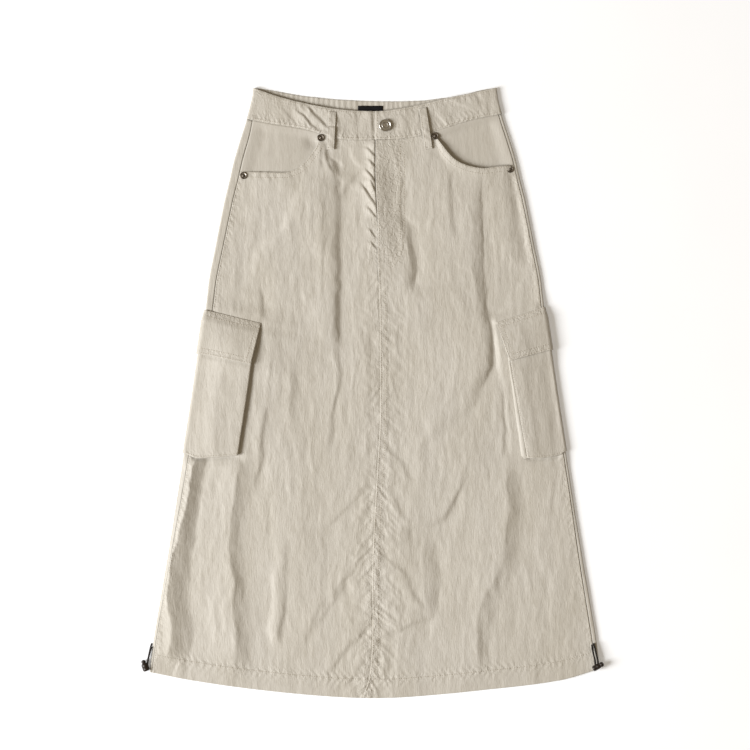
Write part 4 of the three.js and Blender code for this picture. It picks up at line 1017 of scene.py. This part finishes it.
def pocketSheet(name, cargo, front, top, bottom, rows, offsetAt, detail, gatherAt, thickness):
    ahead = [1, 0.985, 0.97, 0.95] + list(np.linspace(0.93, 0.06, 52))
    behind = [-0.06, -0.15, -0.3, -0.5, -0.7, -0.85, -1]
    outer, inner, gather = [], [], []
    v = np.asarray(rows)
    columns = [("front", part) for part in ahead] + [("turn", part) for part in turnSteps] + [("rear", part) for part in behind]
    if cargo["side"] < 0:
        columns.reverse()
    side = cargo["side"]
    for kind, part in columns:
        if kind == "front":
            s = part * mix(front[0], front[1], v)
        else:
            s = np.full(len(v), part * (quarter if kind == "turn" else cargo["rear"]))
        d = np.maximum(np.abs(s) + levels["fold"] - quarter, 0)
        y = mix(top(d), bottom(d), v)
        offset = offsetAt(s, d, y)
        bumps = detail(s, d, y, v) if kind == "front" else 0
        gather.append(gatherAt(d, y, v) * (1 if kind == "front" else 0.4))
        for grid, half in ((outer, thickness / 2), (inner, -thickness / 2)):
            reach = halfWidth(y) - levels["fold"]
            if kind == "front":
                x = side * (reach - (s - quarter))
                grid.append(np.stack([x, y, frontBase(x, y) + offset + bumps + half], axis=-1))
            else:
                grid.append(tubePointArray(side, s, y, offset + half))
    return clothWall(name, np.stack(outer, axis=1), np.stack(inner, axis=1), np.stack(gather, axis=1))


def tubePointArray(side, s, y, offset):
    reach = halfWidth(y) - levels["fold"]
    if s[0] < -quarter:
        x = side * (reach + s + quarter)
        return np.stack([x, y, np.maximum(backHeight(side, levels["fold"] - s - quarter, y) - offset, 0.01)], axis=-1)
    angle = s / levels["fold"]
    radius = levels["fold"] + offset
    middle = backHeight(side, np.zeros_like(y), y) + levels["fold"]
    return np.stack([side * (reach + radius * np.cos(angle)), y, middle + radius * np.sin(angle)], axis=-1)


faceFolds = dict(
    left=[([(-206, 36), (-216, -20), (-218, -84)], 1.0, 12, 24, 16), ([(-236, 36), (-242, -30)], 0.6, 10, 14, 12),
          ([(-186, 20), (-192, -50)], -0.5, 8, 12, 10)],
    right=[([(204, 40), (216, -20), (224, -84)], 1.0, 10, 16, 24), ([(228, 44), (240, -20), (246, -80)], 1.0, 14, 20, 14)])
flapFolds = dict(
    left=[([(-206, 96), (-214, 52)], 0.7, 12, 20, 16), ([(-180, 90), (-186, 46)], 0.5, 8, 12, 10)],
    right=[([(200, 98), (212, 54)], 0.6, 10, 14, 14), ([(228, 106), (236, 62)], 0.8, 10, 14, 12)])


def makeCargo(label, cargo):
    flapTop, flapBottom, bottom = cargo["flapTop"], cargo["flapBottom"], cargo["bottom"]
    side = cargo["side"]

    def faceOffset(s, d, y):
        return cargoLook["faceOffset"] + np.where(s > 0, pocketRise(cargo, d, y), 0)

    def faceDetail(s, d, y, v):
        x = side * (halfWidth(y) - d)
        inner = mix(cargo["faceInner"][0], cargo["faceInner"][1], v) - d
        z = crinkleAt(x, y, 0.7)
        for fold in faceFolds[label]:
            z = z + foldHeight(fold, x, y)
        z = z * step(0, 8, d)
        # a groove where the flap's lower edge presses, which shows as a dark line under it
        z = z - 0.9 * np.exp(-(((y - flapBottom(d) + 0.6) / 2.2) ** 2)) * step(0, 10, d)
        z = z - 1.0 * step(3.5, 0, inner) - 0.25 * step(1.5, 0, y - bottom(d))
        return z + 0.14 * pucker(x, y - bottom(d) - 5, 7, 6, 0.6, 101) * step(2, 8, d)

    def faceGather(d, y, v):
        inner = mix(cargo["faceInner"][0], cargo["faceInner"][1], v) - d
        return np.maximum(0.5 * np.exp(-(((y - bottom(d) - 3) / 5) ** 2)), 0.5 * np.exp(-(((inner - 3) / 5) ** 2)))

    face = pocketSheet("cargo_face_" + label, cargo, cargo["faceInner"], lambda d: flapTop(d) - 17, bottom,
                       spread((0.3, 20), (0.94, 52), (1.0, 8)), faceOffset, faceDetail, faceGather, cargoLook["thickness"])
    finish(face, nylon, "shell_cloth", "cargo_pocket_" + label)

    def flapOffset(s, d, y):
        down = step(flapTop(d), flapTop(d) - 16, y)
        close = 0.6 + 0.6 + cargoLook["flapThickness"] / 2
        return mix(close, cargoLook["flapOffset"] + np.where(s > 0, pocketRise(cargo, d, y), 0), down)

    def flapDetail(s, d, y, v):
        x = side * (halfWidth(y) - d)
        inner = mix(cargo["flapInner"][0], cargo["flapInner"][1], v) - d
        z = crinkleAt(x, y, 0.6)
        for fold in flapFolds[label]:
            z = z + foldHeight(fold, x, y)
        z = z + 0.22 * pucker(x, y - flapTop(d) + 4, 6.5, 5, 0.5, 111) + 0.1 * pucker(x, y - flapBottom(d) - 5, 7, 5, 0.5, 112)
        z = z * step(0, 8, d)
        return z - 0.5 * step(2.5, 0, inner) - 0.15 * step(1.5, 0, y - flapBottom(d)) - 0.5 * step(-4, 0, y - flapTop(d))

    def flapGather(d, y, v):
        inner = mix(cargo["flapInner"][0], cargo["flapInner"][1], v) - d
        rows = [np.exp(-(((y - flapTop(d) + 4.5) / 4.5) ** 2)), 0.8 * np.exp(-(((y - flapBottom(d) - 5) / 5) ** 2)),
                0.7 * np.exp(-(((inner - 4.5) / 4.5) ** 2))]
        return np.maximum.reduce(rows)

    flap = pocketSheet("cargo_flap_" + label + "_cloth", cargo, cargo["flapInner"], flapTop, flapBottom,
                       spread((0.06, 4), (0.94, 40), (1.0, 5)), flapOffset, flapDetail, flapGather, cargoLook["flapThickness"])
    finish(flap, nylon, "shell_cloth", "cargo_flap_" + label)

    # gusset: down the inner side and along the bottom, between the skirt and the face
    rows = np.linspace(0, 1, 9)
    path = []
    topY = flapTop(cargo["faceInner"][0]) - 22
    lowY = bottom(cargo["faceInner"][1]) + 1.2
    for v in np.linspace(0, 1, 60):
        d = mix(cargo["faceInner"][0], cargo["faceInner"][1], v) - cargoLook["tuck"][label]
        path.append((d, mix(topY, lowY + 2.5, v), (-side, 0), mix(cargo["flare"][0], cargo["flare"][1], v ** 1.2)))
    corner = cargo["faceInner"][1] - 1.2
    path.append((corner, lowY + 0.6, (-side * 0.71, -0.71), cargo["flare"][1] * 0.7))
    for v in np.linspace(0, 1, 26):
        d = mix(corner - 2.5, 33, v)
        path.append((d, bottom(d) + 1.2, (0, -1), 0.2))
    middle = []
    for d, y, out, flare in path:
        x = side * (halfWidth(y) - d)
        high = cargoLook["faceOffset"] - 0.7 + float(pocketRise(cargo, d, y))
        buckle = 0.5 * latticeNoise(y, d, 14, 14, 121)
        line = []
        for t in rows:
            outward = mix(-0.4, flare, t) + (0.7 + buckle if out[1] == 0 else 0.2) * math.sin(math.pi * t)
            px, py = x + out[0] * outward, y + out[1] * outward
            line.append((float(px), float(py), float(frontBase(px, py) + mix(high, 0.7, t ** 2.6))))
        middle.append(line)
    middle = np.array(middle).transpose(1, 0, 2)
    if side < 0:
        middle = middle[:, ::-1]
    outer, inner = offsetGrid(middle, cargoLook["gussetThickness"])
    gusset = clothWall("cargo_gusset_" + label + "_cloth", outer, inner)
    finish(gusset, nylon, "shell_cloth", "cargo_gusset_" + label)
    return face, flap, gusset


cargoPieces = {label: makeCargo(label, cargo) for label, cargo in (("left", cargoLeft), ("right", cargoRight))}
print("stage: cargo pockets made")


# surfaces that stitches and trims lie on

def surfaceLeft(x, y):
    return frontLeftHeight(x, y) + panelLook["thickness"] / 2


def surfaceRight(x, y):
    return frontRightHeight(x, y) + panelLook["thickness"] / 2


def bandRise(x):
    return bandLook["lapRise"] * (1 - step(bandLook["lapTo"], bandLook["lapTo"] + 16, x)) * (np.asarray(x) > 0)


def surfaceBand(x, y):
    return bandHeight(x, y) + bandRise(x) + bandLook["thickness"] / 2


# belt loops

loopLook = dict(width=10.3, thickness=1.2, rows=64, columns=14)


def beltLoop(name, node, start, end, stand, kink, under):
    v = np.linspace(0, 1, loopLook["rows"])[:, None]
    u = np.linspace(-0.5, 0.5, loopLook["columns"])[None, :]
    length = math.hypot(end[0] - start[0], end[1] - start[1])
    ux, uy = (end[1] - start[1]) / length, -(end[0] - start[0]) / length
    x = mix(start[0], end[0], v) - ux * loopLook["width"] * u
    y = mix(start[1], end[1], v) - uy * loopLook["width"] * u
    rest = np.array([[float(np.max(under(mix(start[0], end[0], t) + np.array([-5, 0, 5]), mix(start[1], end[1], t) + 0 * np.array([1, 1, 1]))))]
                     for t in np.linspace(0, 1, loopLook["rows"])])
    soft = np.convolve(np.pad(rest[:, 0], 6, mode="edge"), np.ones(13) / 13, mode="valid")[:, None]
    z = np.maximum(soft, rest - 0.2) + 0.3 + loopLook["thickness"] / 2 + stand * np.sin(math.pi * v) ** 0.7
    z = z - 0.25 * np.exp(-((np.abs(u) - 0.34) / 0.05) ** 2)
    # bent where the waistband creases under it, and standing off below the bend
    z = z + kink * (step(0.37, 0.44, v) - 0.45 * np.exp(-((v - 0.38) / 0.03) ** 2))
    z = z + 0.35 * latticeNoise(x, y, 4, 9, 131) + 0.5 * latticeNoise(x, y + 0.6 * x, 12, 5, 132)
    outer, inner = offsetGrid(np.stack([x, y, z], axis=-1), loopLook["thickness"])
    piece = clothWall(name, outer, inner)
    return finish(piece, nylon, "shell_cloth", node), (x, y, z)


def underLeft(x, y):
    return np.where(y > seamFront(x), surfaceBand(x, y), surfaceLeft(x, y))


def underRight(x, y):
    return np.where(y > seamFront(x), surfaceBand(x, y), surfaceRight(x, y))


loopLeft, loopLeftGrid = beltLoop("loop_left", "belt_loop_left", (-58.6, 386.5), (-61.4, 334.4), 0.9, 1.2, underLeft)
loopRight, loopRightGrid = beltLoop("loop_right", "belt_loop_right", (65.5, 391.5), (74.2, 335), 2.4, 0.2, underRight)

# label inside the back waistband, left plain

labelGrid = np.array([[[x, y, 2.6 + 0.15 * math.sin(x * 0.3)] for x in np.linspace(-23.5, 11, 24)] for y in np.linspace(395, 377, 12)])
labelOuter, labelInner = offsetGrid(labelGrid, 0.5)
labelPiece = finish(clothWall("label_tape", labelOuter, labelInner), labelTape, "label_cloth", "back_label")
print("stage: loops and label made")

# button and rivets

buttonProfile = [(0.01, 0), (3.2, 0), (3.2, 0.4), (7.6, 0.7), (8.3, 1.1), (8.5, 1.6), (8.4, 2.1), (8.0, 2.6), (7.5, 2.75),
                 (7.0, 2.6), (6.6, 2.2), (6.2, 2.05), (4.6, 2.1), (4.3, 2.35), (4.0, 2.4), (3.7, 2.15), (1.6, 2.2), (0.01, 2.3)]
rivetProfile = [(0.01, 0), (4.5, 0), (4.9, 0.3), (5.0, 0.7), (4.7, 1.15), (4.2, 1.3), (3.6, 1.15), (3.1, 0.8), (2.2, 0.75),
                (1.8, 0.95), (1.6, 1.6), (1.2, 2.1), (0.6, 2.35), (0.01, 2.4)]
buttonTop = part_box("waist_button")[0][2] * 1000
button = turnedPiece("button_head", buttonProfile, 48, (13.8, 367.5, buttonTop - 0.4), (0.1, -0.05, 1))
finish(button, buttonMetal, "button_metal", "waist_button")
for name, x, y, lean in (("rivet_inner_left", -74.8, 350.6, (0.05, 0, 1)), ("rivet_inner_right", 82.8, 353.2, (0.1, 0.05, 1)),
                         ("rivet_outer_left", -181.2, 298.6, (-0.08, 0, 1)), ("rivet_outer_right", 186.2, 307.4, (0.08, 0, 1))):
    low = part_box(name)[0][2] * 1000
    rivet = turnedPiece(name.replace("rivet", "rivet_cap"), rivetProfile, 32, (x, y, low - 0.3), lean)
    finish(rivet, rivetMetal, "rivet_metal", name)
print("stage: button and rivets made")

# topstitching: thread 0.3 mm thick is drawn 0.7 mm so that it shows

stitchLook = dict(pitch=3.3, length=2.5, width=0.7, rise=0.2)


def stitchRow(line, surface, pitch=None):
    # one small rod per stitch along a plan line, lying on a surface
    pitch = pitch or stitchLook["pitch"]
    line = np.array(line, float)
    reach = np.concatenate([[0], np.cumsum(np.linalg.norm(np.diff(line, axis=0), axis=1))])
    count = max(int(reach[-1] / pitch), 1)
    starts = np.linspace(0, reach[-1] - stitchLook["length"], count)
    at = lambda s: np.stack([np.interp(s, reach, line[:, 0]), np.interp(s, reach, line[:, 1])], axis=-1)
    rings = []
    for part, wide, lift in ((0, 0.25, -0.25), (0.25, 1, 0.7), (0.75, 1, 0.7), (1, 0.25, -0.25)):
        p = at(starts + part * stitchLook["length"])
        z = surface(p[:, 0], p[:, 1])
        rings.append((p, z, wide, lift))
    ends = at(starts + stitchLook["length"]) - at(starts)
    ends /= np.maximum(np.linalg.norm(ends, axis=1, keepdims=True), 1e-9)
    sideways = np.stack([-ends[:, 1], ends[:, 0]], axis=-1)
    points, faces = [], []
    half = stitchLook["width"] / 2
    for k in range(count):
        base = len(points)
        for p, z, wide, lift in rings:
            for across, up in ((1, 0), (0, 1), (-1, 0), (0, -1)):
                place = p[k] + sideways[k] * across * half * wide
                points.append((place[0], place[1], z[k] + stitchLook["rise"] * lift + up * half * wide * 0.8))
        for ring in range(3):
            for q in range(4):
                n = (q + 1) % 4
                a = base + ring * 4
                faces.append((a + q, a + 4 + q, a + 4 + n, a + n))
        faces.append((base, base + 1, base + 2, base + 3))
        faces.append((base + 15, base + 14, base + 13, base + 12))
    return points, faces


def stitching(name, rows):
    points, faces = [], []
    for line, surface in rows:
        morePoints, moreFaces = stitchRow(line, surface)
        faces += [tuple(i + len(points) for i in face) for face in moreFaces]
        points += morePoints
    piece = addObject(name, meshFrom(name, inMetres(points), faces))
    return finish(piece, thread, "shell_cloth")


def downLine(xAt, top, bottom, count=160):
    return [(float(xAt(y)), y) for y in np.linspace(top, bottom, count)]


def acrossLine(yAt, start, end, count=120):
    return [(x, float(yAt(x))) for x in np.linspace(start, end, count)]


def besideCurve(line, gap):
    # a line beside another one, gap to its left as it runs
    line = np.array(line, float)
    run = np.gradient(line, axis=0)
    run /= np.linalg.norm(run, axis=1, keepdims=True)
    return np.stack([line[:, 0] - run[:, 1] * gap, line[:, 1] + run[:, 0] * gap], axis=-1)


jStitch = [(35, 346), (35, 300), (35, 240), (34.4, 212), (31, 194), (24.5, 181), (17, 176.5)]
jLine = [(p[0], p[1]) for p in smoothPath([(x, y, 0) for x, y in jStitch], 90)]
scoopLineLeft = acrossLine(scoopLeft, -186, -76.4)
scoopLineRight = acrossLine(scoopRight, 83.4, 191.5)
rows = []
for gap in (1.6, 8.0):
    rows.append((downLine(lambda y: centreSeam(y) + gap, 346 if gap < 2 else 140, -412), surfaceRight))
rows += [(jLine, surfaceRight), (besideCurve(jLine, 5.5)[6:], surfaceRight)]
rows += [([(5, 249), (34, 249.5)], surfaceRight)]
for gap in (-1.8, -7.5):
    rows.append((besideCurve(scoopLineLeft, gap), surfaceLeft))
    rows.append((besideCurve(scoopLineRight, gap), surfaceRight))
rows.append((downLine(lambda y: -(halfWidth(y) - insetLeft(y)) + 1.5, 298, -380), surfaceLeft))
rows.append((downLine(lambda y: halfWidth(y) - insetRight(y) - 1.5, 306, -376), surfaceRight))
rows.append((acrossLine(lambda x: hem(x) + hemLook["stitchUp"], -300, -6), surfaceLeft))
rows.append((acrossLine(lambda x: hem(x) + hemLook["stitchUp"], -2, 301), surfaceRight))
stitching("topstitching_front", rows)

# two bar tacks close the fly's end
tackRows = [([(4, 198 - k * 1.0), (13.5, 198 - k * 1.0)], surfaceRight) for k in range(0, 20, 2)]
stitching("bar_tacks_fly", tackRows)

bandRows = []
for up, start, end in ((3.0, -166, -2), (3.0, 3, 168), (-3.0, -160, -2), (-3.0, 3, 160)):
    edge = seamFront if up > 0 else topFront
    bandRows.append((acrossLine(lambda x: edge(x) + up, start, end), surfaceBand))
bandRows.append(([(3.0, 386), (3.0, 350.5)], surfaceBand))
slit = [(22 + 12 * t, 368.2 + 1.3 * math.sin(math.pi * t)) for t in np.linspace(0, 1, 12)]
slitBack = [(34 - 12 * t, 367.2 - 1.3 * math.sin(math.pi * t)) for t in np.linspace(0, 1, 12)]
bandRows += [(slit, surfaceBand), (slitBack, surfaceBand)]
stitching("topstitching_waistband", bandRows)

loopRows = []
for x, y, z in (loopLeftGrid, loopRightGrid):
    for column in (2, 11):
        line = [(x[k, column], y[k, column]) for k in range(2, loopLook["rows"] - 2)]
        heights = z[:, column] + loopLook["thickness"] / 2
        ys = y[:, column]
        loopRows.append((line, lambda px, py, ys=ys, heights=heights: np.interp(-py, -ys, heights)))
    for row in (2, loopLook["rows"] - 4):
        line = [(x[row, k], y[row, k]) for k in range(1, 13)]
        height = float(z[row].max() + loopLook["thickness"] / 2)
        loopRows.append((line, lambda px, py, height=height: height + 0 * px))
stitching("topstitching_loops", loopRows)


def sampledSurface(piece):
    # the height of a finished sheet, read straight down on it
    tree = BVHTree.FromPolygons([v.co for v in piece.data.vertices], [p.vertices for p in piece.data.polygons])

    def at(x, y):
        heights = []
        for px, py in zip(np.atleast_1d(x), np.atleast_1d(y)):
            hit = tree.ray_cast(Vector(inMetres((px, py, 0))[:2]).to_3d() + Vector((0, 0, 1)), Vector((0, 0, -1)))
            heights.append(hit[0].z * 1000 if hit[0] else 5.0)
        return np.array(heights)
    return at


for label, cargo in (("left", cargoLeft), ("right", cargoRight)):
    face, flap, gusset = cargoPieces[label]
    onFace, onFlap = sampledSurface(face), sampledSurface(flap)
    side = cargo["side"]
    place = lambda d, y: (side * (float(halfWidth(y)) - d), y)
    flapRows, faceRows = [], []
    for gap in (2.0, 8.0):
        flapRows.append(([place(d, float(cargo["flapTop"](d)) - gap) for d in np.linspace(1.5, cargo["flapInner"][0] - 2.5, 60)], onFlap))
    flapRows.append(([place(d, float(cargo["flapBottom"](d)) + 2.2) for d in np.linspace(1.5, cargo["flapInner"][1] - 2.5, 60)], onFlap))
    flapRows.append(([place(d, float(cargo["flapBottom"](d)) + 8.2) for d in np.linspace(1.5, cargo["flapInner"][1] - 8.5, 60)], onFlap))
    inner = cargo["flapInner"]
    for gap in (2.2, 8.2):
        flapRows.append(([place(mix(inner[0], inner[1], v) - gap, mix(float(cargo["flapTop"](inner[0])) - 3, float(cargo["flapBottom"](inner[1])) + gap, v))
                          for v in np.linspace(0, 1, 30)], onFlap))
    stitching("topstitching_flap_" + label, flapRows)
    innerFace = cargo["faceInner"]
    faceRows.append(([place(mix(innerFace[0], innerFace[1], v) - 2.4, mix(float(cargo["flapBottom"](innerFace[0])) - 2, float(cargo["bottom"](innerFace[1])) + 2, v))
                      for v in np.linspace(0, 1, 50)], onFace))
    faceRows.append(([place(d, float(cargo["bottom"](d)) + 2.6) for d in np.linspace(2, innerFace[1] - 2.4, 50)], onFace))
    stitching("topstitching_pocket_" + label, faceRows)
print("stage: topstitching made")

# floor and light

stageLook = dict(floor="f0f3f8", glow=0.2, key=515, fill=3, sky=0.25)


def paintedFloor(name, look):
    # Seamless matt paper sweep.
    m = newMaterial(name)
    place = addNode(m, "ShaderNodeTexCoord")
    grain = addNode(m, "ShaderNodeTexNoise", {"Vector": (place, "Object"), "Scale": 6.0, "Detail": 2.0})
    tint = addNode(m, "ShaderNodeValToRGB", {"Fac": (grain, "Fac")}, stops=[(0.3, look["floor"]), (0.7, "f2f5fa")])
    shader = addNode(m, "ShaderNodeBsdfPrincipled", {"Base Color": (tint, "Color"), "Roughness": 0.9,
                                                     "Emission Color": (1, 1, 1, 1), "Emission Strength": look["glow"]})
    addNode(m, "ShaderNodeOutputMaterial", {"Surface": (shader, "BSDF")})
    return m


floorMesh = meshFrom("floor", [(-4, -4, 0), (4, -4, 0), (4, 4, 0), (-4, 4, 0)], [(0, 1, 2, 3)], smooth=False)
floor = addObject("floor", floorMesh)
floor.data.materials.append(paintedFloor("matt paper sweep", stageLook))
floor.location.z = -0.0002


def areaLight(name, place, aim, size, power, colour="ffffff"):
    light = bpy.data.lights.new(name, "AREA")
    light.shape = "RECTANGLE"
    light.size, light.size_y = size
    light.energy = power
    light.color = toLinear(colour)[:3]
    lamp = bpy.data.objects.new(name, light)
    bpy.context.scene.collection.objects.link(lamp)
    lamp.location = place
    lamp.rotation_euler = (Vector(aim) - Vector(place)).to_track_quat("-Z", "Y").to_euler()
    return lamp


areaLight("key_from_left", (-4.8, -1.1, 3.7), (0.0, 0, 0), (2.4, 3.4), stageLook["key"])
areaLight("fill_from_above", (0.3, 0.2, 2.9), (0, 0, 0), (2.6, 2.6), stageLook["fill"], "ffeccf")
world = bpy.data.worlds.new("soft white room")
world.use_nodes = True
world.node_tree.nodes["Background"].inputs["Color"].default_value = toLinear("ffe9c6")
world.node_tree.nodes["Background"].inputs["Strength"].default_value = stageLook["sky"]
bpy.context.scene.world = world
bpy.context.scene.view_settings.view_transform = "Standard"
bpy.context.scene.view_settings.look = "None"
print("stage: floor and light made")

# each cargo pocket's face, flap and gusset, side by side

for label in ("left", "right"):
    face, flap, gusset = cargoPieces[label]
